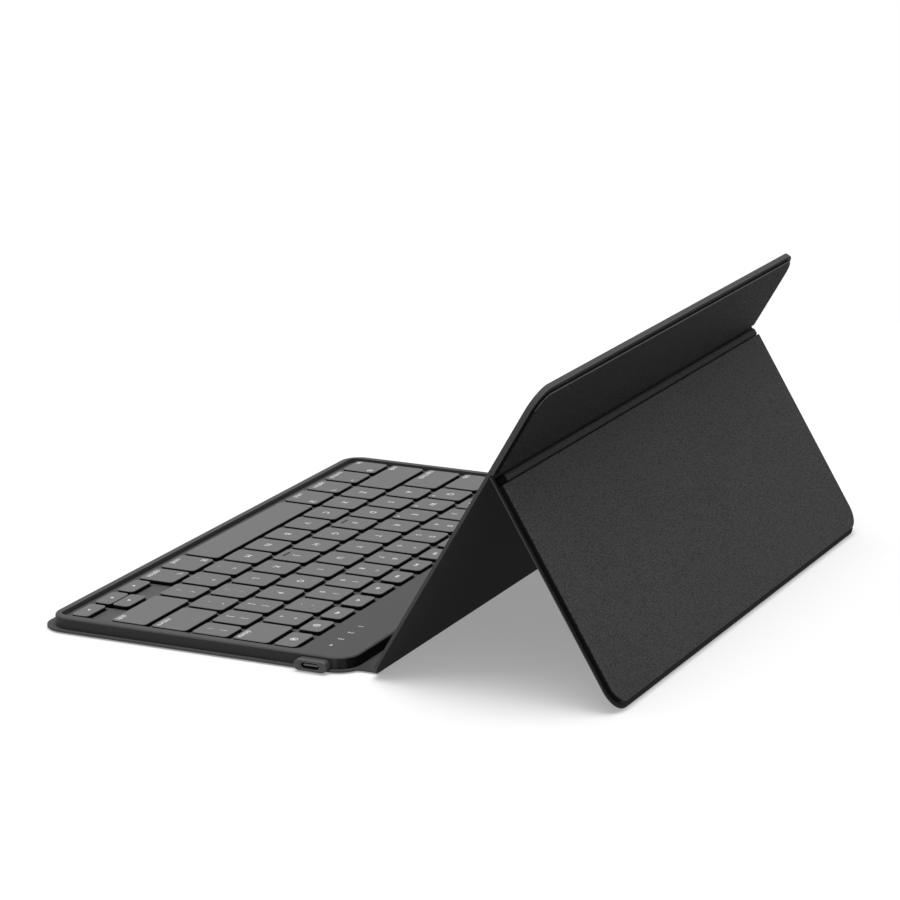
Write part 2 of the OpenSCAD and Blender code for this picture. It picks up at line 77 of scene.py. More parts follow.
class Grain(Enum):
    """How the fine texture of a finish looks."""

    MOULDED = "moulded"
    LEATHER = "leather"
    NAP = "nap"
    TWILL = "twill"
    BRUSHED = "brushed"
    FOIL = "foil"
    TRACES = "traces"


class Place(Enum):
    """Where a legend sits on its key."""

    CENTRE = "centre"
    FRONT = "front"
    BACK = "back"
    FRONT_LEFT = "front_left"
    FRONT_RIGHT = "front_right"
    BACK_LEFT = "back_left"
    BACK_RIGHT = "back_right"
    CORNER_DOT = "corner_dot"


@dataclass(frozen=True)
class Finish:
    """One surface finish, made as a node material.

    Sizes are in metres: cell is the width of one grain and depth its height.
    """

    name: str
    colour: tuple[float, float, float]
    grain: Grain
    cell: float
    depth: float
    roughness: float = 0.5
    spread: float = 0.12
    metallic: float = 0.0
    specular: float = 0.5
    sheen: float = 0.0
    stretch: tuple[float, float, float] = (1.0, 1.0, 1.0)
    turn: float = 0.0

    def material(self) -> bpy.types.Material:
        """Returns the material, made on its first use.

        Returns:
            The finish's material.
        """
        made = bpy.data.materials.get(self.name)
        if made is not None:
            return made
        made = bpy.data.materials.new(self.name)
        made.use_nodes = True
        made.diffuse_color = (*self.colour, 1.0)
        tree = made.node_tree
        shader = tree.nodes["Principled BSDF"]
        shader.inputs["Metallic"].default_value = self.metallic
        shader.inputs["Specular IOR Level"].default_value = self.specular
        shader.inputs["Sheen Weight"].default_value = self.sheen
        shader.inputs["Sheen Roughness"].default_value = 0.5
        place = self._place(tree)
        height = self._height(tree, place)
        self._colour(tree, place, height, shader)
        self._surface(tree, height, shader)
        return made

    def _place(self, tree: bpy.types.NodeTree) -> bpy.types.NodeSocket:
        """Returns the socket of the pattern's coordinates.

        Args:
            tree: the material's tree.

        Returns:
            The socket to read.
        """
        where = tree.nodes.new("ShaderNodeTexCoord")
        mapping = tree.nodes.new("ShaderNodeMapping")
        mapping.inputs["Scale"].default_value = self.stretch
        mapping.inputs["Rotation"].default_value = (0.0, 0.0, self.turn)
        tree.links.new(where.outputs["Object"], mapping.inputs["Vector"])
        return mapping.outputs["Vector"]

    def _texture(self, tree: bpy.types.NodeTree, kind: str, place: bpy.types.NodeSocket,
                 values: dict[str, float]) -> bpy.types.Node:
        """Adds one texture node.

        Args:
            tree: the material's tree.
            kind: the node's type.
            place: the coordinates to read.
            values: the inputs to set.

        Returns:
            The new node.
        """
        node = tree.nodes.new(kind)
        tree.links.new(place, node.inputs["Vector"])
        for name, value in values.items():
            node.inputs[name].default_value = value
        return node

    def _mixed(self, tree: bpy.types.NodeTree, operation: str, first: bpy.types.NodeSocket,
               second: bpy.types.NodeSocket | float) -> bpy.types.NodeSocket:
        """Returns the result of one Math node on two sockets, or on a socket and a number.

        Args:
            tree: the material's tree.
            operation: the node's operation.
            first: the first socket.
            second: the second socket, or a number.

        Returns:
            The node's output.
        """
        node = tree.nodes.new("ShaderNodeMath")
        node.operation = operation
        tree.links.new(first, node.inputs[0])
        if isinstance(second, float):
            node.inputs[1].default_value = second
        else:
            tree.links.new(second, node.inputs[1])
        return node.outputs[0]

    def _height(self, tree: bpy.types.NodeTree, place: bpy.types.NodeSocket
                ) -> bpy.types.NodeSocket:
        """Returns the socket of the grain's height, from 0 to about 1.

        Args:
            tree: the material's tree.
            place: the coordinates to read.

        Returns:
            The socket to read.
        """
        scale = 1.0 / self.cell
        noise = self._texture(tree, "ShaderNodeTexNoise", place,
                              {"Scale": scale, "Detail": 3.0, "Roughness": 0.6})
        if self.grain is Grain.LEATHER:
            cells = tree.nodes.new("ShaderNodeTexVoronoi")
            cells.feature = "SMOOTH_F1"
            cells.inputs["Scale"].default_value = scale
            cells.inputs["Smoothness"].default_value = 0.4
            tree.links.new(place, cells.inputs["Vector"])
            domes = self._mixed(tree, "SUBTRACT", noise.outputs["Fac"], cells.outputs["Distance"])
            return self._mixed(tree, "ADD", domes, 0.5)
        if self.grain in (Grain.TWILL, Grain.TRACES):
            bands = self._texture(tree, "ShaderNodeTexWave", place,
                                  {"Scale": scale / WAVE_BAND, "Distortion": 0.6, "Detail": 1.0})
            return self._mixed(tree, "MULTIPLY", bands.outputs["Fac"], noise.outputs["Fac"])
        return noise.outputs["Fac"]

    def _colour(self, tree: bpy.types.NodeTree, place: bpy.types.NodeSocket,
                height: bpy.types.NodeSocket, shader: bpy.types.Node) -> None:
        """Links a colour that follows the grain and drifts slowly over the surface.

        Args:
            tree: the material's tree.
            place: the coordinates to read.
            height: the grain's height.
            shader: the shader to colour.
        """
        drift = self._texture(tree, "ShaderNodeTexNoise", place,
                              {"Scale": DRIFT_SCALE / self.cell, "Detail": 2.0})
        both = self._mixed(tree, "ADD", self._mixed(tree, "MULTIPLY", height, 1.0 - DRIFT_SHARE),
                           self._mixed(tree, "MULTIPLY", drift.outputs["Fac"], DRIFT_SHARE))
        ramp = tree.nodes.new("ShaderNodeValToRGB")
        low, high = ramp.color_ramp.elements
        low.position, high.position = RAMP_ENDS
        low.color = (*(c * (1.0 - self.spread) for c in self.colour), 1.0)
        high.color = (*(min(1.0, c * (1.0 + self.spread)) for c in self.colour), 1.0)
        tree.links.new(both, ramp.inputs["Fac"])
        tree.links.new(ramp.outputs["Color"], shader.inputs["Base Color"])

    def _surface(self, tree: bpy.types.NodeTree, height: bpy.types.NodeSocket,
                 shader: bpy.types.Node) -> None:
        """Links the roughness and the bump.

        Args:
            tree: the material's tree.
            height: the grain's height.
            shader: the shader to link.
        """
        span = tree.nodes.new("ShaderNodeMapRange")
        span.inputs["To Min"].default_value = max(0.05, self.roughness - ROUGHNESS_SWING)
        span.inputs["To Max"].default_value = min(1.0, self.roughness + ROUGHNESS_SWING)
        tree.links.new(height, span.inputs["Value"])
        tree.links.new(span.outputs["Result"], shader.inputs["Roughness"])
        bump = tree.nodes.new("ShaderNodeBump")
        bump.inputs["Strength"].default_value = 1.0
        bump.inputs["Distance"].default_value = self.depth
        tree.links.new(height, bump.inputs["Height"])
        tree.links.new(bump.outputs["Normal"], shader.inputs["Normal"])


def grey(value: float) -> tuple[float, float, float]:
    """Returns a neutral colour."""
    return (value, value, value)


def moulded(name: str, value: float, cell: float, depth: float, roughness: float, spread: float,
            specular: float = 0.5, grain: Grain = Grain.MOULDED) -> Finish:
    """Returns the finish of a grey moulded plastic.

    Args:
        name: the material's name.
        value: how light it is.
        cell: the width of one grain, in millimetres.
        depth: the height of the grain, in millimetres.
        roughness: the shader's roughness.
        spread: how far the colour swings.
        specular: the shader's specular level.
        grain: how its texture looks.

    Returns:
        The finish.
    """
    return Finish(name, grey(value), grain, cell * MM, depth * MM, roughness, spread,
                  specular=specular)


def leather(name: str, *numbers: float) -> Finish:
    """Returns a grey leather's finish, from the same numbers as a moulded plastic's."""
    return moulded(name, *numbers, grain=Grain.LEATHER)


CAP_TOP = moulded("cap_plastic", 0.080, 0.16, 0.004, 0.6, 0.08, 0.3)
# Near-black skirt for the cap sides: painted shade that fills the gaps between the keys.
CAP_SIDE_SHADE = moulded("cap_skirt_painted_shade", 0.003, 0.2, 0.004, 0.7, 0.1, 0.12)
PRINT = moulded("legend_print", 0.55, 0.2, 0.002, 0.5, 0.05)
# Near-black homing bars: painted shadow of the raised bar.
HOMING_SHADE = moulded("homing_mark", 0.004, 0.2, 0.002, 0.6, 0.05, 0.2)
DECK = moulded("deck_plastic_soft", 0.030, 0.14, 0.008, 0.6, 0.16, 0.25)
# Darker copies of the deck plastic for the outer walls: painted shade, deepest on the walls that
# face the back under the panel.
DECK_WALL_SHADE = moulded("deck_plastic_wall_painted_shade", 0.014, 0.14, 0.008, 0.6, 0.2, 0.2)
DECK_CORNER_SHADE = moulded("deck_plastic_corner_painted_shade", 0.008, 0.14, 0.008, 0.6, 0.2, 0.12)
DECK_REAR_SHADE = moulded("deck_plastic_rear_painted_shade", 0.003, 0.14, 0.008, 0.65, 0.2, 0.06)
TRAY = moulded("tray_plastic_soft", 0.045, 0.14, 0.008, 0.65, 0.14, 0.25)
BEZEL = moulded("bezel_plastic_soft", 0.030, 0.1, 0.005, 0.5, 0.1, 0.4)
COVER = moulded("cover_plastic", 0.035, 0.15, 0.006, 0.6, 0.12, 0.3)
RUBBER = moulded("dome_rubber", 0.03, 0.3, 0.01, 0.8, 0.15)
TONGUE = moulded("tongue_grey", 0.11, 0.1, 0.003, 0.5, 0.1)
LENS = moulded("lens_smoke", 0.02, 0.2, 0.001, 0.15, 0.1)
LEATHER = leather("fine_leather", 0.0095, 0.62, 0.05, 0.75, 0.6, 0.10)
# The two board leathers are one leather: the cover board's darker copy paints shade on the panel's
# back, which faces down and away from the light, and the leg board's lighter copy paints light on
# the leg's face.
COVER_LEATHER_SHADE = leather("cover_leather_painted_shade", 0.0058, 0.8, 0.14, 0.75, 1.0, 0.07)
PADDED_LEATHER_LIT = leather("board_leather_painted_light", 0.0205, 0.62, 0.05, 0.72, 0.7, 0.14)
BOARD_WALL = leather("board_wall_leather", 0.003, 0.5, 0.03, 0.75, 0.4, 0.06)
# Near-black block at the ridge's near end: painted shade of the recess there.
RIDGE_END_SHADE = leather("ridge_end_painted_shade", 0.0015, 0.5, 0.03, 0.8, 0.4, 0.02)
# A lighter leather for the board's upper fillet: a painted highlight along its top edge.
FILLET_HIGHLIGHT = leather("board_edge_painted_highlight", 0.040, 0.5, 0.03, 0.6, 0.5, 0.3)
LEG_WALL = leather("leg_end_leather", 0.014, 0.5, 0.03, 0.75, 0.4, 0.12)
CUT_EDGE = Finish("laminate_edge", grey(0.048), Grain.TWILL, 0.22e-3, 0.02e-3, 0.8, 0.22,
                  specular=0.15, stretch=(0.8, 1.0, 1.0), turn=0.6)
CUT_EDGE_INNER = replace(CUT_EDGE, name="laminate_edge_inner", colour=grey(0.010), specular=0.1)
LINING = Finish("napped_lining", grey(0.030), Grain.NAP, 0.25e-3, 0.04e-3, 0.9, 0.3,
                specular=0.1, sheen=0.12)
TAPE = Finish("ribbed_tape", grey(0.030), Grain.TWILL, 0.5e-3, 0.05e-3, 0.75, 0.35,
              specular=0.15, turn=0.78)
STEEL = Finish("rolled_steel", (0.55, 0.55, 0.56), Grain.BRUSHED, 0.3e-3, 0.003e-3, 0.32, 0.1,
               metallic=1.0, stretch=(0.04, 1.0, 1.0))
# A darkened copy of the steel for the socket's shell: painted shade inside the socket's mouth.
SHELL_STEEL_SHADE = Finish("socket_steel_painted_shade", (0.16, 0.16, 0.165), Grain.BRUSHED, 0.1e-3, 0.002e-3, 0.3,
                     0.1, metallic=1.0, stretch=(0.1, 1.0, 1.0))
NICKEL = Finish("nickel_plate", (0.6, 0.59, 0.56), Grain.FOIL, 1.5e-3, 0.004e-3, 0.25, 0.08,
                metallic=1.0)
GOLD = Finish("contact_gold", (0.75, 0.5, 0.18), Grain.BRUSHED, 0.1e-3, 0.001e-3, 0.25, 0.08,
              metallic=1.0, stretch=(0.1, 1.0, 1.0))
BOARD = Finish("circuit_laminate", (0.012, 0.10, 0.045), Grain.TRACES, 0.8e-3, 0.02e-3, 0.4, 0.5)
FOIL = Finish("cell_wrap_foil", (0.62, 0.63, 0.65), Grain.FOIL, 4e-3, 0.08e-3, 0.35, 0.12,
              metallic=0.9)


def new_object(name: str, mesh: bpy.types.Mesh, finishes: Sequence[Finish]) -> bpy.types.Object:
    """Links a mesh to the scene as one object with its finishes.

    Args:
        name: the piece's name.
        mesh: its mesh, in the model's own axes.
        finishes: the finish of each material slot.

    Returns:
        The object, at the origin.
    """
    mesh.name = name
    indices = [polygon.material_index for polygon in mesh.polygons]
    mesh.materials.clear()
    for finish in finishes:
        mesh.materials.append(finish.material())
    mesh.polygons.foreach_set("material_index", indices)
    made = bpy.data.objects.new(name, mesh)
    bpy.context.scene.collection.objects.link(made)
    return made


def settle(piece: bpy.types.Object, body: str, nodes: Iterable[str] = ()) -> None:
    """Rides a piece on its body and hides the CAD nodes that it stands for.

    Args:
        piece: the finished piece.
        body: the body that it rides on.
        nodes: the CAD nodes that it stands for.
    """
    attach(piece, body)
    nodes = tuple(nodes)
    if nodes:
        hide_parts(*nodes)
    log.info("%s rides on %s, %d faces", piece.name, body, len(piece.data.polygons))


def outline(half_width: float, start: float, finish: float, start_radius: float,
            finish_radius: float, inset: float, steps: int = 10) -> list[Point2]:
    """Returns a sheet's outline, anticlockwise, drawn in by an inset.

    Args:
        half_width: half the sheet's width.
        start: its lower end.
        finish: its upper end.
        start_radius: the radius of the lower corners.
        finish_radius: the radius of the upper corners.
        inset: how far the outline is drawn in.
        steps: facets in each corner.

    Returns:
        The outline's points.
    """
    low = max(start_radius - inset, LEAST_RADIUS)
    high = max(finish_radius - inset, LEAST_RADIUS)
    side = half_width - inset
    corners = (
        (side - low, start + inset + low, low, -90),
        (side - high, finish - inset - high, high, 0),
        (-side + high, finish - inset - high, high, 90),
        (-side + low, start + inset + low, low, 180),
    )
    points = []
    for x, y, radius, first in corners:
        for n in range(steps + 1):
            angle = math.radians(first + 90 * n / steps)
            points.append((x + radius * math.cos(angle), y + radius * math.sin(angle)))
    return points


def loft(shape: bmesh.types.BMesh, rings: Sequence[Sequence[Vector]], end: int = 0,
         side: int = 0) -> None:
    """Adds a closed solid through rings of equal length, from the lowest to the highest.

    Args:
        shape: the mesh to add to.
        rings: the rings, each anticlockwise seen from above.
        end: the material index of the two ends.
        side: the material index of the sides.
    """
    made = [[shape.verts.new(p) for p in ring] for ring in rings]
    for low, high in zip(made, made[1:]):
        for n in range(len(low)):
            m = (n + 1) % len(low)
            face = shape.faces.new((low[n], low[m], high[m], high[n]))
            face.smooth = True
            face.material_index = side
    bottom = shape.faces.new(list(reversed(made[0])))
    top = shape.faces.new(made[-1])
    bottom.material_index = top.material_index = end


def loft_tube(shape: bmesh.types.BMesh, rings: Sequence[Sequence[Vector]]) -> None:
    """Adds a ring-shaped solid: up through its outer rings and back down its inner ones.

    Args:
        shape: the mesh to add to.
        rings: the rings, in order round the section.
    """
    made = [[shape.verts.new(p) for p in ring] for ring in rings]
    for low, high in zip(made, made[1:] + made[:1]):
        for n in range(len(low)):
            m = (n + 1) % len(low)
            shape.faces.new((low[n], low[m], high[m], high[n])).smooth = True


def finish_mesh(shape: bmesh.types.BMesh, name: str) -> bpy.types.Mesh:
    """Turns a bmesh into a mesh and frees it.

    Args:
        shape: the bmesh.
        name: the mesh's name.

    Returns:
        The mesh.
    """
    mesh = bpy.data.meshes.new(name)
    shape.to_mesh(mesh)
    shape.free()
    return mesh


def ringed(name: str, rings: Sequence[Sequence[Vector]], end: int = 0, side: int = 0,
           mended: bool = False) -> bpy.types.Mesh:
    """Returns the mesh of one solid through rings.

    Args:
        name: the mesh's name.
        rings: the rings.
        end: the material index of the two ends.
        side: the material index of the sides.
        mended: whether its normals are turned outwards again.

    Returns:
        The mesh.
    """
    shape = bmesh.new()
    loft(shape, rings, end, side)
    if mended:
        bmesh.ops.recalc_face_normals(shape, faces=shape.faces)
    return finish_mesh(shape, name)


def layered(levels: Sequence[float], groove: float) -> Profile:
    """Returns the edge profile of a stack of layers with a seam between each two.

    Args:
        levels: the heights of the layers' faces, from the lowest.
        groove: the depth of a seam.

    Returns:
        Pairs of inset and height.
    """
    points: Profile = []
    for low, high in zip(levels, levels[1:]):
        bend = min(groove, (high - low) / LAYER_BENDS)
        inset, rise = SEAM_SHARE * groove, SEAM_SHARE * bend
        layer = [(groove, low), (inset, low + rise), (0.0, low + bend), (0.0, high - bend),
                 (inset, high - rise), (groove, high)]
        points += layer if not points else layer[1:]
    return points


def crowned(low: float, high: float, low_fillet: float, high_fillet: float,
            steps: int = 5) -> Profile:
    """Returns an edge profile with a rounded lower and upper edge.

    Args:
        low: the height of the lower face.
        high: the height of the upper face.
        low_fillet: the radius of the lower edge.
        high_fillet: the radius of the upper edge.
        steps: facets in each edge.

    Returns:
        Pairs of inset and height.
    """
    turns = [math.radians(90 * n / steps) for n in range(steps + 1)]
    points = [(low_fillet * (1 - math.sin(turn)), low + low_fillet * (1 - math.cos(turn)))
              for turn in turns]
    points += [(high_fillet * (1 - math.cos(turn)), high - high_fillet * (1 - math.sin(turn)))
               for turn in turns]
    return points


def evaluated_mesh(piece: bpy.types.Object) -> bpy.types.Mesh:
    """Returns a plain mesh of an object with its modifiers applied.

    Args:
        piece: the object.

    Returns:
        The new mesh.
    """
    bpy.context.view_layer.update()
    graph = bpy.context.evaluated_depsgraph_get()
    return bpy.data.meshes.new_from_object(piece.evaluated_get(graph))


def bake_modifiers(piece: bpy.types.Object) -> None:
    """Replaces an object's mesh by the result of its modifiers, and removes them.

    Args:
        piece: the object.
    """
    mesh = evaluated_mesh(piece)
    piece.modifiers.clear()
    piece.data = mesh


def carve(piece: bpy.types.Object, tool: bpy.types.Object, operation: str) -> None:
    """Cuts a piece with a second solid, which is then removed.

    Args:
        piece: the piece to cut.
        tool: the solid to cut with.
        operation: the kind of boolean.
    """
    cut = piece.modifiers.new("carve", "BOOLEAN")
    cut.operation = operation
    cut.solver = "EXACT"
    cut.object = tool
    bake_modifiers(piece)
    bpy.data.objects.remove(tool)


def corners_of(points: Sequence[Vector]) -> tuple[Vector, Vector]:
    """Returns the lowest and the highest corner of the box round some points."""
    return (Vector(min(p[k] for p in points) for k in range(3)),
            Vector(max(p[k] for p in points) for k in range(3)))


@dataclass
class Sheet:
    """A flat sheet with rounded corners, described in its own frame."""

    half_width: float
    start: float
    finish: float
    start_radius: float
    finish_radius: float
    profile: Profile
    place: Matrix
    steps: int = 12

    def mesh(self, name: str) -> bpy.types.Mesh:
        """Returns the sheet's mesh, in the model's axes.

        Args:
            name: the mesh's name.

        Returns:
            The mesh.
        """
        rings = []
        for inset, height in self.profile:
            flat = outline(self.half_width, self.start, self.finish, self.start_radius,
                           self.finish_radius, inset, self.steps)
            rings.append([self.place @ Vector((x, y, height)) for x, y in flat])
        return ringed(name, rings, side=1)


@dataclass
class RowTree:
    """A Geometry Nodes tree that repeats its host's mesh along a line."""

    name: str = "repeat_along_line"

    def tree(self) -> bpy.types.NodeTree:
        """Returns the node tree, made on its first use.

        Returns:
            The tree.
        """
        made = bpy.data.node_groups.get(self.name)
        if made is not None:
            return made
        made = bpy.data.node_groups.new(self.name, "GeometryNodeTree")
        for name, kind in (("Piece", "Geometry"), ("Count", "Int"), ("Step", "Vector"),
                           ("Finish", "Material")):
            made.interface.new_socket(name, in_out="INPUT", socket_type=f"NodeSocket{kind}")
        made.interface.new_socket("Row", in_out="OUTPUT", socket_type="NodeSocketGeometry")
        entry, leave, line, copies, plain, dress = (made.nodes.new(kind) for kind in (
            "NodeGroupInput", "NodeGroupOutput", "GeometryNodeMeshLine",
            "GeometryNodeInstanceOnPoints", "GeometryNodeRealizeInstances",
            "GeometryNodeSetMaterial"))
        for source, output, target, entrance in (
            (entry, "Count", line, "Count"), (entry, "Step", line, "Offset"),
            (line, "Mesh", copies, "Points"), (entry, "Piece", copies, "Instance"),
            (copies, "Instances", plain, "Geometry"), (plain, "Geometry", dress, "Geometry"),
            (entry, "Finish", dress, "Material"), (dress, "Geometry", leave, "Row"),
        ):
            made.links.new(source.outputs[output], target.inputs[entrance])
        return made

    def repeat(self, piece: bpy.types.Object, count: int, step: Vector, finish: Finish) -> None:
        """Repeats a piece's mesh in place.

        Args:
            piece: the object whose mesh is repeated.
            count: how many copies.
            step: the distance from one copy to the next.
            finish: the finish of the whole row.
        """
        tree = self.tree()
        row = piece.modifiers.new("row", "NODES")
        row.node_group = tree
        values = {"Count": count, "Step": step, "Finish": finish.material()}
        for item in tree.interface.items_tree:
            if item.in_out == "INPUT" and item.name in values:
                row[item.identifier] = values[item.name]
        bake_modifiers(piece)


@dataclass(frozen=True)
class Softened:
    """A CAD node's own shape with its sharp edges rounded."""

    node: str
    name: str
    body: str
    slot: str
    finish: Finish
    width: float
    segments: int = 2
    lowered: float = 0.0
    flat_angle: float = 0.5
    sharp_angle: float = 35.0

    def build(self) -> None:
        """Makes the piece and lets it stand for its CAD node."""
        source = frame["nodes"][self.node].data
        shape = bmesh.new()
        heights = [v.co.z for v in source.vertices]
        level = (min(heights) + max(heights)) / 2
        verts = [shape.verts.new(v.co - Vector((0, 0, self.lowered if v.co.z > level else 0)))
                 for v in source.vertices]
        for polygon in source.polygons:
            shape.faces.new([verts[n] for n in polygon.vertices])
        bmesh.ops.remove_doubles(shape, verts=shape.verts, dist=MERGE_DISTANCE)
        bmesh.ops.dissolve_limit(shape, angle_limit=math.radians(self.flat_angle),
                                 verts=shape.verts, edges=shape.edges)
        piece = new_object(self.name, finish_mesh(shape, self.name), (self.finish,))
        for polygon in piece.data.polygons:
            polygon.use_smooth = True
        bevel = piece.modifiers.new("soft_edges", "BEVEL")
        bevel.width = self.width
        bevel.segments = self.segments
        bevel.limit_method = "ANGLE"
        bevel.angle_limit = math.radians(self.sharp_angle)
        bevel.use_clamp_overlap = True
        bevel.harden_normals = True
        bake_modifiers(piece)
        settle(piece, self.body, (self.node,))


@dataclass(frozen=True)
class Glyphs:
    """Makes thin closed solids for the printed legends."""

    thickness: float = 0.02 * MM
    sunk: float = 0.008 * MM
    stroke: float = 0.08
    thinned: float = 0.006
    least_mitre: float = 0.45

    def text(self, shape: bmesh.types.BMesh, words: str, size: float, where: Vector,
             align: str = "CENTER") -> None:
        """Adds words in the plain built-in face.

        Args:
            shape: the mesh to add to.
            words: what is printed.
            size: the height of a line of type.
            where: the anchor, on the surface.
            align: the horizontal alignment.
        """
        curve = bpy.data.curves.new("type", "FONT")
        curve.body = words
        curve.size = size
        curve.align_x = align
        curve.align_y = "CENTER"
        curve.resolution_u = 3
        curve.extrude = self.thickness / 2
        curve.offset = -self.thinned * size
        carrier = bpy.data.objects.new("type", curve)
        bpy.context.scene.collection.objects.link(carrier)
        mesh = evaluated_mesh(carrier)
        bpy.data.objects.remove(carrier)
        lift = where + Vector((0, 0, self.thickness / 2 - self.sunk))
        middle = 0.0
        if len(words) > 1 or words.isalnum():
            heights = [v.co.y for v in mesh.vertices]
            middle = (max(heights) + min(heights)) / 2
        mesh.transform(Matrix.Translation(lift - Vector((0, middle, 0))))
        for polygon in mesh.polygons:
            polygon.material_index = PRINT_INDEX
        shape.from_mesh(mesh)
        bpy.data.meshes.remove(mesh)

    def plate(self, shape: bmesh.types.BMesh, points: Sequence[Point2], size: float,
              where: Vector) -> None:
        """Adds one filled outline.

        Args:
            shape: the mesh to add to.
            points: the outline, anticlockwise, in a unit square about its middle.
            size: the side of that square.
            where: its middle, on the surface.
        """
        low = -self.sunk
        rings = [[where + Vector((x * size, y * size, z)) for x, y in points]
                 for z in (low, low + self.thickness)]
        loft(shape, rings, end=PRINT_INDEX, side=PRINT_INDEX)

    def line(self, shape: bmesh.types.BMesh, points: Sequence[Point2], size: float,
             where: Vector, closed: bool = False) -> None:
        """Adds a stroke of even width along a path, with mitred corners.

        Args:
            shape: the mesh to add to.
            points: the path, in a unit square about its middle.
            size: the side of that square.
            where: its middle, on the surface.
            closed: whether the path closes on itself.
        """
        path = [Vector(p) for p in points]
        count = len(path)
        left, right = [], []
        for n, point in enumerate(path):
            before = path[n - 1] if n or closed else None
            after = path[(n + 1) % count] if n + 1 < count or closed else None
            ways = [d.normalized() for d in (point - before if before is not None else None,
                                             after - point if after is not None else None)
                    if d is not None and d.length > 0]
            along = sum(ways, Vector((0, 0)))
            along = along.normalized() if along.length > 1e-6 else ways[0]
            across = Vector((-along.y, along.x))
            reach = self.stroke / 2 / max(self.least_mitre,
                                          across.dot(Vector((-ways[0].y, ways[0].x))))
            left.append(point + across * reach)
            right.append(point - across * reach)
        spans = range(count if closed else count - 1)
        for n in spans:
            m = (n + 1) % count
            self.plate(shape, [tuple(p) for p in (right[n], right[m], left[m], left[n])], size,
                       where)


def arc(x: float, y: float, radius: float, first: float = 0.0, last: float = 360.0,
        steps: int = 12) -> list[Point2]:
    """Returns points along an arc, without its last point where it is a whole circle.

    Args:
        x: its centre, to the right.
        y: its centre, upwards.
        radius: its radius.
        first: the angle where it starts, in degrees.
        last: the angle where it ends.
        steps: how many lines it is made of.

    Returns:
        The points.
    """
    whole = abs(last - first) >= 360.0
    count = steps if whole else steps + 1
    return [(x + radius * math.cos(math.radians(first + (last - first) * n / steps)),
             y + radius * math.sin(math.radians(first + (last - first) * n / steps)))
            for n in range(count)]


@dataclass(frozen=True)
class Icon:
    """A small drawn symbol: open lines, closed lines and filled shapes in a unit square."""

    lines: tuple[list[Point2], ...] = ()
    rings: tuple[list[Point2], ...] = ()
    fills: tuple[list[Point2], ...] = ()

    def draw(self, glyphs: Glyphs, shape: bmesh.types.BMesh, size: float, where: Vector) -> None:
        """Adds the symbol to a mesh.

        Args:
            glyphs: the maker of strokes.
            shape: the mesh to add to.
            size: the side of the symbol's square.
            where: its middle, on the surface.
        """
        for points in self.lines:
            glyphs.line(shape, points, size, where)
        for points in self.rings:
            glyphs.line(shape, points, size, where, closed=True)
        for points in self.fills:
            glyphs.plate(shape, points, size, where)


def rays(inner: float, outer: float, count: int) -> tuple[list[Point2], ...]:
    """Returns short lines that stand round a disc.

    Args:
        inner: how far out they start.
        outer: how far out they end.
        count: how many there are.

    Returns:
        The lines.
    """
    made = []
    for n in range(count):
        angle = 2 * math.pi * n / count
        made.append([(inner * math.cos(angle), inner * math.sin(angle)),
                     (outer * math.cos(angle), outer * math.sin(angle))])
    return tuple(made)


def block(left: float, bottom: float, right: float, top: float) -> list[Point2]:
    """Returns a rectangle's corners, anticlockwise."""
    return [(left, bottom), (right, bottom), (right, top), (left, top)]


def bar(x: float, half: float) -> list[Point2]:
    """Returns an upright line."""
    return [(x, -half), (x, half)]


def wedge(tip: float, back: float, half: float) -> list[Point2]:
    """Returns a triangle that points to the left or to the right, anticlockwise."""
    side = math.copysign(half, back - tip)
    return [(tip, 0.0), (back, -side), (back, side)]


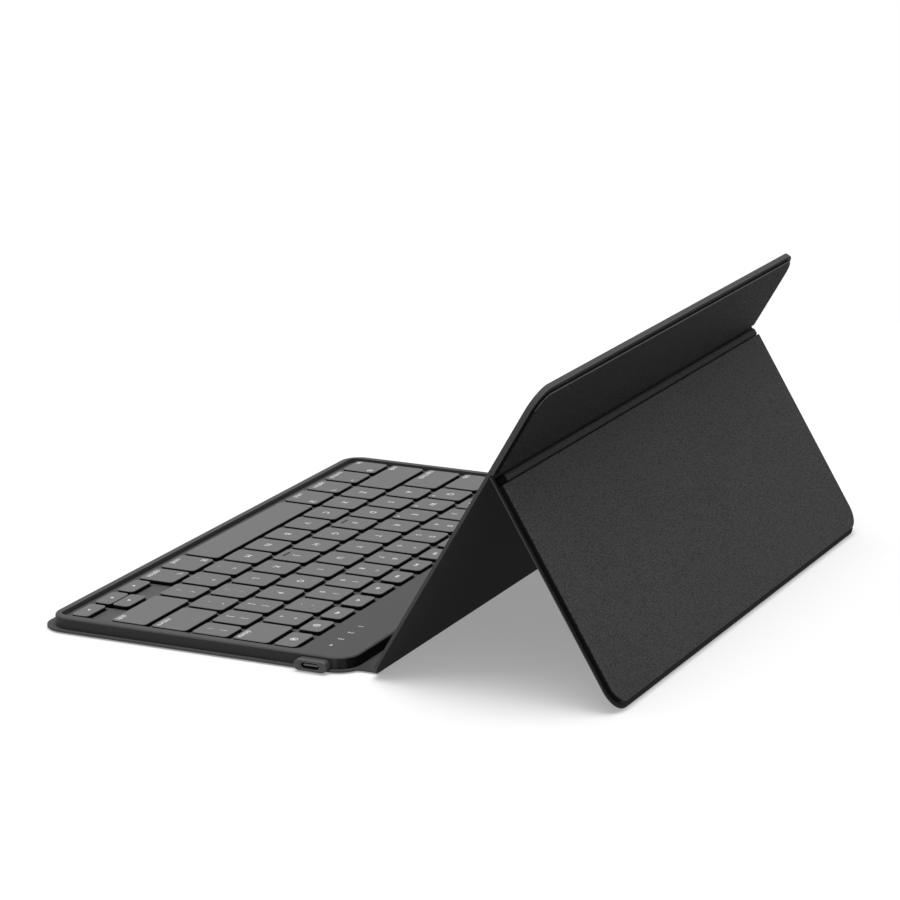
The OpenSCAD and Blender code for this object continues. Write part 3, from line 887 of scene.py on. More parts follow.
SPEAKER = [(-0.35, -0.12), (-0.2, -0.12), (0.0, -0.32), (0.0, 0.32), (-0.2, 0.12), (-0.35, 0.12)]
ICONS = {
    "left": Icon(fills=(wedge(-0.32, 0.25, 0.32),)),
    "right": Icon(fills=(wedge(0.32, -0.25, 0.32),)),
    "up": Icon(fills=([(-0.32, -0.25), (0.32, -0.25), (0.0, 0.32)],)),
    "down": Icon(fills=([(-0.32, 0.25), (0.0, -0.32), (0.32, 0.25)],)),
    "dim": Icon(rings=(arc(0, 0, 0.18),), lines=rays(0.3, 0.38, 8)),
    "bright": Icon(rings=(arc(0, 0, 0.22),), lines=rays(0.34, 0.5, 8)),
    "windows": Icon(rings=(block(-0.45, -0.3, 0.15, 0.3),), lines=(bar(0.3, 0.3), bar(0.45, 0.3))),
    "search": Icon(rings=(arc(-0.08, 0.08, 0.27),), lines=([(0.12, -0.12), (0.42, -0.42)],)),
    "keys": Icon(rings=(block(-0.5, -0.3, 0.5, 0.3),),
                 lines=([(-0.3, 0.1), (0.3, 0.1)], [(-0.2, -0.1), (0.2, -0.1)])),
    "back": Icon(fills=(wedge(-0.45, -0.05, 0.28), wedge(0.0, 0.4, 0.28))),
    "play": Icon(fills=(wedge(0.05, -0.4, 0.3),), lines=(bar(0.2, 0.3), bar(0.4, 0.3))),
    "next": Icon(fills=(wedge(0.0, -0.4, 0.28), wedge(0.45, 0.05, 0.28))),
    "mute": Icon(fills=(SPEAKER,), lines=([(0.12, -0.15), (0.42, 0.15)],
                                          [(0.12, 0.15), (0.42, -0.15)])),
    "quiet": Icon(fills=(SPEAKER,), lines=(arc(0.0, 0, 0.24, -50, 50, 6),)),
    "loud": Icon(fills=(SPEAKER,), lines=(arc(0.0, 0, 0.22, -50, 50, 6),
                                          arc(0.0, 0, 0.42, -50, 50, 6))),
    "lock": Icon(rings=(arc(0, 0, 0.46, steps=16),),
                 fills=(block(-0.2, -0.26, 0.2, 0.04),),
                 lines=(arc(0, 0.04, 0.14, 0, 180, 6),)),
    "globe": Icon(rings=(arc(0, 0, 0.45, steps=16), [(0.19 * x, 0.45 * y)
                                                     for x, y in arc(0, 0, 1.0)]),
                  lines=([(-0.45, 0.0), (0.45, 0.0)],)),
    "caret": Icon(lines=([(-0.28, -0.1), (0.0, 0.22), (0.28, -0.1)],)),
    "switch": Icon(lines=([(-0.45, 0.25), (-0.15, 0.25), (0.15, -0.25), (0.45, -0.25)],
                          [(0.1, 0.25), (0.45, 0.25)])),
    "loops": Icon(rings=(block(-0.15, -0.15, 0.15, 0.15),),
                  lines=tuple(arc(0.29 * x, 0.29 * y, 0.14, first, first + 270, 9)
                              for x, y, first in ((1, 1, -90), (-1, 1, 0), (-1, -1, 90),
                                                  (1, -1, 180)))),
    "dot": Icon(rings=(arc(0, 0, 0.3, steps=8),), fills=(arc(0, 0, 0.12, steps=6),)),
    "cell": Icon(rings=(block(-0.35, -0.16, 0.25, 0.16),), lines=(bar(0.34, 0.06),)),
}


@dataclass(frozen=True)
class Legend:
    """One printed mark on a key."""

    words: str
    place: Place
    drawn: bool = False


def pair(main: str, shifted: str) -> tuple[Legend, ...]:
    """Returns the two marks of a key that carries two symbols."""
    return (Legend(main, Place.FRONT), Legend(shifted, Place.BACK))


def middle(word: str, drawn: bool = False) -> tuple[Legend, ...]:
    """Returns one mark in the middle of a key."""
    return (Legend(word, Place.CENTRE, drawn),)


def modifier(word: str, at: Place, icon: str = "", icon_at: Place = Place.BACK_RIGHT
             ) -> tuple[Legend, ...]:
    """Returns a modifier's word and its symbol."""
    marks = (Legend(word, at),)
    return marks + (Legend(icon, icon_at, True),) if icon else marks


LEGENDS: dict[str, list[tuple[Legend, ...]]] = {
    "number_keys": [pair(m, s) for m, s in zip("1234567890-=", "!@#$%^&*()_+")],
    "upper_letter_keys": [middle(c) for c in "QWERTYUIOP"] + [pair("[", "{"), pair("]", "}")],
    "home_letter_keys": [middle(c) for c in "ASDFGHJKL"] + [pair(";", ":"), pair("'", '"')],
    "lower_letter_keys": [middle(c) for c in "ZXCVBNM"]
    + [pair(",", "<"), pair(".", ">"), pair("/", "?")],
    "function_keys": [middle(c, True) for c in ("dim", "bright", "windows", "search", "keys",
                                                "back", "play", "next", "mute", "quiet",
                                                "loud", "globe")],
    "escape_key": [middle("esc")],
    "lock_key": [middle("lock", True)],
    "grave_key": [pair("`", "~")],
    "backslash_key": [pair("\\", "|")],
    "tab_key": [modifier("tab", Place.FRONT_LEFT)],
    "caps_lock_key": [modifier("caps lock", Place.FRONT_LEFT)],
    "left_shift_key": [modifier("shift", Place.FRONT_LEFT)],
    "right_shift_key": [modifier("shift", Place.FRONT_RIGHT)],
    "return_key": [modifier("return", Place.FRONT_RIGHT)],
    "delete_key": [modifier("delete", Place.FRONT_RIGHT)],
    "fn_key": [modifier("fn", Place.FRONT_LEFT, "globe")],
    "control_key": [modifier("control", Place.FRONT, "caret")],
    "left_option_key": [modifier("option", Place.FRONT, "switch")],
    "left_command_key": [modifier("cmd", Place.FRONT, "loops")],
    "right_command_key": [modifier("cmd", Place.FRONT, "loops", Place.BACK_LEFT)],
    "right_option_key": [modifier("option", Place.FRONT, "switch", Place.BACK_LEFT)],
    "space_key": [()],
    "left_arrow_key": [middle("left", True)],
    "right_arrow_key": [middle("right", True)],
    "up_arrow_key": [middle("up", True)],
    "down_arrow_key": [middle("down", True)],
}
for key in range(3):
    LEGENDS["upper_letter_keys"][key] += (Legend("dot", Place.CORNER_DOT, True),)


@dataclass
class Keys:
    """The key caps with their printed legends."""

    radius: float = 1.9 * MM
    fillet: float = 0.24 * MM
    letter: float = 4.4 * MM
    symbol: float = 3.8 * MM
    word: float = 3.9 * MM
    icon: float = 3.4 * MM
    small_icon: float = 3.0 * MM
    arrow: float = 2.6 * MM
    margin: float = 1.7 * MM
    row_offset: float = 3.3 * MM
    mark_width: float = 6.4 * MM
    mark_depth: float = 0.9 * MM
    mark_height: float = 0.12 * MM
    mark_setback: float = 3.2 * MM
    mark_sunk: float = 0.02 * MM
    mark_radius: float = 0.4 * MM
    mark_fillet: float = 0.08 * MM
    dot_share: float = 0.7
    homing: tuple[tuple[str, int], ...] = (("home_letter_keys", 3), ("home_letter_keys", 6))
    glyphs: Glyphs = Glyphs()

    def boxes(self, node: str) -> list[tuple[Vector, Vector]]:
        """Returns the box of each separate cap in a CAD node, from left to right.

        Args:
            node: the CAD node's name.

        Returns:
            The lowest and highest corner of each cap.
        """
        source = frame["nodes"][node].data
        shape = bmesh.new()
        shape.from_mesh(source)
        bmesh.ops.remove_doubles(shape, verts=shape.verts, dist=MERGE_DISTANCE)
        left = set(shape.verts)
        found = []
        while left:
            island, queue = [], [left.pop()]
            while queue:
                vert = queue.pop()
                island.append(vert.co.copy())
                for edge in vert.link_edges:
                    other = edge.other_vert(vert)
                    if other in left:
                        left.remove(other)
                        queue.append(other)
            found.append(corners_of(island))
        shape.free()
        return sorted(found, key=lambda b: b[0].x)

    def cap(self, shape: bmesh.types.BMesh, low: Vector, high: Vector) -> None:
        """Adds one cap, with a rounded top edge and a near-black skirt that paints the shade in
        the gaps between keys.

        Args:
            shape: the mesh to add to.
            low: the lowest corner of the cap's box.
            high: the highest corner of the cap's box.
        """
        half = (high.x - low.x) / 2
        centre = (high.x + low.x) / 2
        rings = []
        heights = [(0.0, low.z)] + [(i, z) for i, z in crowned(low.z, high.z, 0.0, self.fillet)
                                    if z > low.z + 1e-9]
        for inset, height in heights:
            flat = outline(half, low.y, high.y, self.radius, self.radius, inset, 6)
            rings.append([Vector((centre + x, y, height)) for x, y in flat])
        before = len(shape.faces)
        loft(shape, rings, end=0, side=0)
        shape.faces.ensure_lookup_table()
        # The side faces take the near-black skirt: painted shade in the gaps between keys.
        for face in shape.faces[before:before + len(rings[0])]:
            face.material_index = SKIRT_SHADE_INDEX

    def spot(self, mark: Legend, low: Vector, high: Vector) -> tuple[Vector, str]:
        """Returns a legend's anchor and its alignment.

        Args:
            mark: the legend.
            low: the lowest corner of the cap's box.
            high: the highest corner of the cap's box.

        Returns:
            The anchor on the cap, and the alignment.
        """
        mid = (low + high) / 2
        edge = 3.0 * self.margin / 2
        front, back = low.y + edge, high.y - edge - self.margin / 2
        left, right = low.x + self.margin, high.x - self.margin
        inner = self.small_icon / 2
        spots = {
            Place.CENTRE: ((mid.x, mid.y), "CENTER"),
            Place.FRONT: ((mid.x, mid.y - self.row_offset), "CENTER"),
            Place.BACK: ((mid.x, mid.y + self.row_offset), "CENTER"),
            Place.FRONT_LEFT: ((left, front), "LEFT"),
            Place.FRONT_RIGHT: ((right, front), "RIGHT"),
            Place.BACK_LEFT: ((left + inner, back), "CENTER"),
            Place.BACK_RIGHT: ((right - inner, back), "CENTER"),
            Place.CORNER_DOT: ((right - inner / 2, front), "CENTER"),
        }
        if mark.place is Place.FRONT and len(mark.words) > 1:
            return Vector((mid.x, front, high.z)), "CENTER"
        (x, y), align = spots[mark.place]
        return Vector((x, y, high.z)), align

    def mark(self, shape: bmesh.types.BMesh, mark: Legend, low: Vector, high: Vector) -> None:
        """Adds one legend to a cap.

        Args:
            shape: the mesh to add to.
            mark: the legend.
            low: the lowest corner of the cap's box.
            high: the highest corner of the cap's box.
        """
        where, align = self.spot(mark, low, high)
        if mark.drawn:
            size = self.icon if mark.place is Place.CENTRE else self.small_icon
            if mark.words in ("left", "right", "up", "down"):
                size = self.arrow
            if mark.place is Place.CORNER_DOT:
                size = self.small_icon * self.dot_share
            ICONS[mark.words].draw(self.glyphs, shape, size, where)
            return
        if len(mark.words) > 1:
            size = self.word
        else:
            size = self.letter if mark.place is Place.CENTRE else self.symbol
        self.glyphs.text(shape, mark.words, size, where, align)

    def homing_mark(self, shape: bmesh.types.BMesh, low: Vector, high: Vector) -> None:
        """Adds the small raised bar that a finger finds, in a near-black finish that paints its
        shadow.

        Args:
            shape: the mesh to add to.
            low: the lowest corner of the cap's box.
            high: the highest corner of the cap's box.
        """
        mid = (low.x + high.x) / 2
        y = low.y + self.mark_setback
        rings = []
        for inset, height in crowned(high.z - self.mark_sunk, high.z + self.mark_height, 0.0,
                                     self.mark_fillet, 3)[3:]:
            flat = outline(self.mark_width / 2, y - self.mark_depth / 2, y + self.mark_depth / 2,
                           self.mark_radius, self.mark_radius, inset, 4)
            rings.append([Vector((mid + x, v, height)) for x, v in flat])
        # The bar's near-black finish paints its shadow.
        loft(shape, rings, end=HOMING_SHADE_INDEX, side=HOMING_SHADE_INDEX)

    def build(self) -> None:
        """Makes one piece for each key node."""
        for node, marks in LEGENDS.items():
            shape = bmesh.new()
            boxes = self.boxes(node)
            for low, high in boxes:
                self.cap(shape, low, high)
            for (low, high), cap_marks in zip(boxes, marks):
                for legend in cap_marks:
                    self.mark(shape, legend, low, high)
            for name, number in self.homing:
                if name == node:
                    self.homing_mark(shape, *boxes[number])
            piece = new_object(f"{node}_caps", finish_mesh(shape, node),
                               (CAP_TOP, PRINT, CAP_SIDE_SHADE, HOMING_SHADE))
            settle(piece, f"{node}_body", (node,))


@dataclass
class Wrap:
    """The flexible wrap: the sheet under the deck, the web, the panel and the leg."""

    thickness: float = 1.0 * MM
    radius: float = 11.6 * MM
    lining_top: float = 0.42 * MM
    under_limit: float = -0.9
    under_area: float = 0.001
    notch_room: float = 0.12 * MM
    notch_reach: float = 0.5 * MM
    web_half: float = 135.95 * MM
    corner_reach: float = 1.6 * MM
    near_flare: float = 1.1 * MM
    far_flare: float = 2.2 * MM
    flare_power: float = 2.2
    tuck: float = 0.82
    tuck_reach: float = 2.2 * MM
    foot_reach: float = 1.5 * MM
    foot_stations: tuple[float, ...] = (0.85 * MM, 0.9 * MM, 1.5 * MM)
    spine_lap: float = 0.9 * MM
    bend_radius: float = 1.3 * MM
    flat_steps: int = 14
    rear_steps: int = 4
    bend_steps: int = 10
    strip_columns: int = 24
    strip_corner: float = 0.25
    strip_shoulder: float = 0.6
    strip_side: float = 0.4
    strip_under: float = -0.2
    panel_angle: float = 60.0
    board_edge: float = 0.08 * MM
    leg_angle: float = 59.0
    foot_radius: float = 7.0 * MM
    stand_radius: float = 10.5 * MM
    skin_corner: float = 0.5 * MM
    board_corner: float = 0.8 * MM
    lining_level: float = 0.5 * MM
    board_level: float = 0.9 * MM
    cover_level: float = 1.2 * MM
    leg_levels: tuple[float, float] = (0.45 * MM, 0.8 * MM)
    pad_level: float = 2.3 * MM
    groove: float = 0.09 * MM
    board_fillet: float = 0.45 * MM
    side_inset: float = 1.6 * MM
    wall_limit: float = 0.35
    highlight_slope_limit: float = 0.95
    highlight_share: float = 0.2
    end_limit: float = 0.5
    edge_share: float = 0.72
    rib_pitch: float = 0.62 * MM
    near_shade_length: float = 6.5 * MM
    far_end: float = 1.2 * MM
    rib_slices: tuple[Point2, ...] = ((0.0, 0.10), (0.25, 0.02), (0.75, 0.0), (1.0, 0.10))
    rib_slope: float = 1.0 * MM
    rib_corner: float = 0.3 * MM
    rib_knee: float = 0.35

    def joint(self, name: str) -> Vector:
        """Returns the place of a joint."""
        return Vector(next(j["pos_m"] for j in frame["joints"] if j["name"] == name))

    def panel_frame(self) -> Matrix:
        """Returns the panel's own frame: y runs up the panel and z to its front."""
        turn = Matrix.Rotation(math.radians(self.panel_angle), 4, "X")
        return Matrix.Translation(self.joint("panel_hinge")) @ turn

    def leg_frame(self) -> Matrix:
        """Returns the leg's own frame: y runs down the leg and z outwards."""
        turn = Matrix.Rotation(math.radians(-self.leg_angle), 4, "X")
        return Matrix.Translation(self.joint("leg_hinge")) @ turn

    def local_box(self, node: str, place: Matrix) -> tuple[Vector, Vector]:
        """Returns a CAD node's box in a turned frame.

        Args:
            node: the CAD node's name.
            place: the turned frame.

        Returns:
            The lowest and the highest corner.
        """
        back = place.inverted()
        return corners_of([back @ v.co for v in frame["nodes"][node].data.vertices])

    def sheet(self, node: str, name: str, body: str, place: Matrix,
              radii: Point2, profile: Profile, finishes: Sequence[Finish]) -> None:
        """Makes a sheet in the box of its CAD node.

        Args:
            node: the CAD node that it stands for.
            name: the piece's name.
            body: the body that it rides on.
            place: the frame that its CAD node lies flat in.
            radii: the radius of its first and last corners.
            profile: the edge profile, with heights from 0 to 1 of its thickness.
            finishes: the finish of its faces and of its edge.
        """
        low, high = self.local_box(node, place)
        made = Sheet(high.x, low.y, high.y, radii[0], radii[1],
                     [(i, low.z + h * (high.z - low.z)) for i, h in profile], place)
        mesh = made.mesh(name)
        self.dress_edges(mesh, place, finishes)
        settle(new_object(name, mesh, finishes), body, (node,))

    def dress_edges(self, mesh: bpy.types.Mesh, place: Matrix,
                    finishes: Sequence[Finish]) -> None:
        """Gives a sheet's ends and inner layer their own finishes, and a painted highlight to its
        fillet faces that turn up the sheet.

        Args:
            mesh: the sheet's mesh.
            place: the frame that it lies flat in.
            finishes: its finishes: faces, walls, then the third one where it has one.
        """
        up = place.to_3x3() @ Vector((0, 0, 1))
        along = place.to_3x3() @ Vector((0, 1, 0))
        heights = [place.inverted() @ polygon.center for polygon in mesh.polygons]
        low, high = min(h.z for h in heights), max(h.z for h in heights)
        for polygon, where in zip(mesh.polygons, heights):
            slope = abs(polygon.normal.dot(up))
            if BOARD_WALL in finishes and slope > self.wall_limit:
                # Fillet faces that turn up the sheet take the lighter leather: a painted highlight
                # on the board's top edge.
                upper = (FILLET_HIGHLIGHT in finishes and slope < self.highlight_slope_limit
                         and polygon.normal.dot(along) > self.highlight_share)
                polygon.material_index = 2 if upper else 0
            elif LEG_WALL in finishes and abs(polygon.normal.x) < self.end_limit:
                polygon.material_index = 2
            elif CUT_EDGE_INNER in finishes and polygon.material_index == 1:
                share = (where.z - low) / (high - low)
                polygon.material_index = 2 if share > self.edge_share else 1

    def seamed(self, *levels: float) -> Profile:
        """Returns the edge profile of thin layers, with heights as shares of the whole."""
        return [(inset, height / levels[-1])
                for inset, height in layered([0.0, *levels], self.groove)]

    def padded(self, thickness: float, low_fillet: float, high_fillet: float) -> Profile:
        """Returns the edge profile of a board, with heights as shares of its thickness."""
        return [(inset, height / thickness)
                for inset, height in crowned(0.0, thickness, low_fillet, high_fillet)]

    def base(self) -> None:
        """Makes the sheet under the deck, with its notch for the socket's bezel."""
        low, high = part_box("base_wrap")
        levels = layered([0.0, self.lining_top, high.z], self.groove)
        made = Sheet(high.x, low.y, high.y, self.radius, self.radius, levels,
                     Matrix.Identity(4), 16)
        piece = new_object("wrap_sheet", made.mesh("wrap_sheet"), (LINING, CUT_EDGE))
        for polygon in piece.data.polygons:
            if polygon.normal.z < self.under_limit and polygon.area > self.under_area:
                polygon.material_index = 2
        piece.data.materials.append(LEATHER.material())
        carve(piece, self.bezel_cutter(), "DIFFERENCE")
        settle(piece, "base", ("base_wrap",))

    def bezel_cutter(self) -> bpy.types.Object:
        """Returns a block round the socket's bezel, slightly larger than it.

        Returns:
            The block, linked to the scene.
        """
        low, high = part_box("socket_bezel")
        room = self.notch_room
        radius = (high.z - low.z) / 2 + room
        middle_y, middle_z = (low.y + high.y) / 2, (low.z + high.z) / 2
        rings = []
        for x in (low.x - self.notch_reach, high.x + self.notch_reach):
            flat = outline((high.y - low.y) / 2 + room, -radius, radius, radius, radius, 0.0, 12)
            rings.append([Vector((x, middle_y + a, middle_z + b)) for a, b in flat])
        cutter = bpy.data.objects.new("cutter", ringed("cutter", rings, mended=True))
        bpy.context.scene.collection.objects.link(cutter)
        return cutter

    def half_width(self, y: float) -> float:
        """Returns the web's half width: a tight concave corner at each end.

        Args:
            y: the distance to the back.

        Returns:
            The half width there.
        """
        spine, crease = self.joint("spine_hinge").y, self.joint("panel_hinge").y
        reach = self.corner_reach
        near = max(0.0, (spine + reach - y) / (reach + self.tuck_reach))
        far = max(0.0, (y - crease + reach) / (reach + self.foot_reach))
        return (self.web_half + self.near_flare * near ** self.flare_power
                + self.far_flare * far ** self.flare_power)

    def strip(self, name: str, stations: Sequence[tuple[Vector, Vector, float, float]]
              ) -> bpy.types.Object:
        """Makes a closed strip through stations.

        Args:
            name: the piece's name.
            stations: the middle, the upward direction, the half width and the half thickness
                of each cross-section.

        Returns:
            The piece.
        """
        shape = bmesh.new()
        columns, shoulder = self.strip_columns, self.strip_shoulder
        rings = []
        for centre, up, half, thick in stations:
            bend = self.strip_corner * thick
            across = [-half + bend + 2 * (half - bend) * n / columns for n in range(columns + 1)]
            side = Vector((half, 0, 0))
            ring = [centre + Vector((x, 0, 0)) - up * thick for x in across]
            ring += [centre + side + up * h * thick for h in (-shoulder, shoulder)]
            ring += [centre + Vector((x, 0, 0)) + up * thick for x in reversed(across)]
            ring += [centre - side + up * h * thick for h in (shoulder, -shoulder)]
            rings.append(ring)
        loft(shape, rings, end=1, side=0)
        bmesh.ops.recalc_face_normals(shape, faces=shape.faces)
        for face in shape.faces:
            if abs(face.normal.x) > self.strip_side:
                face.material_index = 1
            elif face.normal.dot(stations[0][1]) < self.strip_under:
                face.material_index = 2
        return new_object(name, finish_mesh(shape, name), (LINING, CUT_EDGE, LEATHER))

    def web(self) -> None:
        """Makes the two halves of the web: the front half lies flat over the spine and the rear
        half bends across the panel's crease.
        """
        spine, crease = self.joint("spine_hinge"), self.joint("panel_hinge")
        first = spine.y - self.tuck_reach
        middle_y = (spine.y + crease.y) / 2
        up = Vector((0, 0, 1))
        half = self.thickness / 2
        flat = []
        for n in range(self.flat_steps + 1):
            y = first + (middle_y - first) * n / self.flat_steps
            under_deck = y < spine.y - self.spine_lap
            flat.append((Vector((0, y, spine.z)), up, self.half_width(y),
                         half * (self.tuck if under_deck else 1.0)))
        front = self.strip("web_front_half", flat)
        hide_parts("spine_web")
        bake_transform(front)
        log.info("%s bends over the spine", front.name)
        radius = self.bend_radius
        turn = math.radians(self.panel_angle)
        reach = radius * math.tan(turn / 2)
        bent = []
        for n in range(self.rear_steps + 1):
            y = middle_y + (crease.y - reach - middle_y) * n / self.rear_steps
            bent.append((Vector((0, y, crease.z)), up, self.half_width(y), half))
        for n in range(1, self.bend_steps + 1):
            angle = turn * n / self.bend_steps
            where = Vector((0, crease.y - reach + radius * math.sin(angle),
                            crease.z + radius * (1 - math.cos(angle))))
            direction = Vector((0, -math.sin(angle), math.cos(angle)))
            bent.append((where, direction, self.half_width(crease.y), half))
        along = Vector((0, math.cos(turn), math.sin(turn)))
        for n, reach_on in enumerate(self.foot_stations):
            bent.append((crease + along * reach_on, direction,
                         self.half_width(crease.y + reach_on), half * (self.tuck if n else 1.0)))
        rear = self.strip("web_rear_half", bent)
        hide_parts("spine_web")
        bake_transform(rear)
        log.info("%s bends over the panel's crease", rear.name)

    def stand(self) -> None:
        """Makes the layers of the panel and of the leg."""
        panel, leg = self.panel_frame(), self.leg_frame()
        top = self.stand_radius
        foot, skin = (self.foot_radius, top), (self.skin_corner, top)
        board = (self.board_corner, top - self.side_inset)
        thin, fillet, edge = self.seamed(self.board_level), self.board_fillet, self.board_edge
        for node, name, body, slot, place, radii, profile, finishes in (
            ("panel_lining", "panel_front_lining", "panel", "lining_fabric", panel, foot,
             self.seamed(self.lining_level), (LINING, CUT_EDGE)),
            ("panel_board", "panel_stiff_board", "panel", "wrap_leather", panel, foot, thin,
             (LEATHER, CUT_EDGE)),
            ("cover_skin", "cover_back_skin", "panel", "wrap_leather", panel, skin, thin,
             (LEATHER, CUT_EDGE)),
            # The cover board and the leg board share one leather: a darker copy of painted shade
            # on the cover, a lighter copy of painted light on the leg.
            ("cover_board", "cover_back_board", "panel", "board_leather", panel, board,
             self.padded(self.cover_level, fillet, edge),
             (COVER_LEATHER_SHADE, BOARD_WALL, FILLET_HIGHLIGHT)),
            ("leg_skin_sheet", "leg_skin_layer", "leg", "wrap_leather", leg, skin,
             self.seamed(*self.leg_levels), (LEATHER, CUT_EDGE, CUT_EDGE_INNER)),
            ("leg_board", "leg_padded_board", "leg", "board_leather", leg, board,
             self.padded(self.pad_level, edge, fillet), (PADDED_LEATHER_LIT, BOARD_WALL, LEG_WALL)),
        ):
            self.sheet(node, name, body, place, radii, profile, finishes)

    def ridge(self) -> None:
        """Makes the ribbed strip at the leg's hinge from a row of thin ribs, with a near-black
        block at its near end that paints the shade of the recess there.
        """
        place = self.leg_frame()
        low, high = self.local_box("ridge_strip", place)
        for side, length, name, finish in (
            (low.x, self.far_end, "ridge_end_left", TAPE),
            # The near end is a near-black block: painted shade in the recess at the strip's near
            # end.
            (high.x - self.near_shade_length, self.near_shade_length, "ridge_shade_block_right", RIDGE_END_SHADE),
        ):
            first, last = Vector((side, low.y, low.z)), Vector((side, high.y, high.z))
            end = new_object(name, self.rib(first, last, length, place), (finish,))
            settle(end, "leg", ("ridge_strip",))
        low.x += self.far_end
        high.x -= self.near_shade_length
        count = int((high.x - low.x) / self.rib_pitch)
        pitch = (high.x - low.x) / count
        piece = new_object("ridge_ribs", self.rib(low, high, pitch, place), (TAPE,))
        RowTree().repeat(piece, count, Vector((pitch, 0, 0)), TAPE)
        settle(piece, "leg", ("ridge_strip",))

    def rib(self, low: Vector, high: Vector, pitch: float, place: Matrix) -> bpy.types.Mesh:
        """Returns one rib of the strip: a rounded slice across it.

        Args:
            low: the lowest corner of the strip's box.
            high: its highest corner.
            pitch: the rib's width.
            place: the strip's frame.

        Returns:
            The rib's mesh.
        """
        rings = []
        slope, corner, knee = self.rib_slope, self.rib_corner, self.rib_knee
        for share, shrink_mm in self.rib_slices:
            x, shrink = low.x + share * pitch, shrink_mm * MM
            start, finish, top = low.y + shrink, high.y - shrink, high.z - shrink
            points = [(start, low.z), (finish, low.z), (finish, top - corner),
                      (finish - corner, top), (start + slope, top),
                      (start + knee * slope, top - knee * slope)]
            rings.append([place @ Vector((x, y, z)) for y, z in points])
        return ringed("rib", rings, mended=True)

    def build(self) -> None:
        """Makes every piece of the wrap and the stand."""
        self.base()
        self.web()
        self.stand()
        self.ridge()


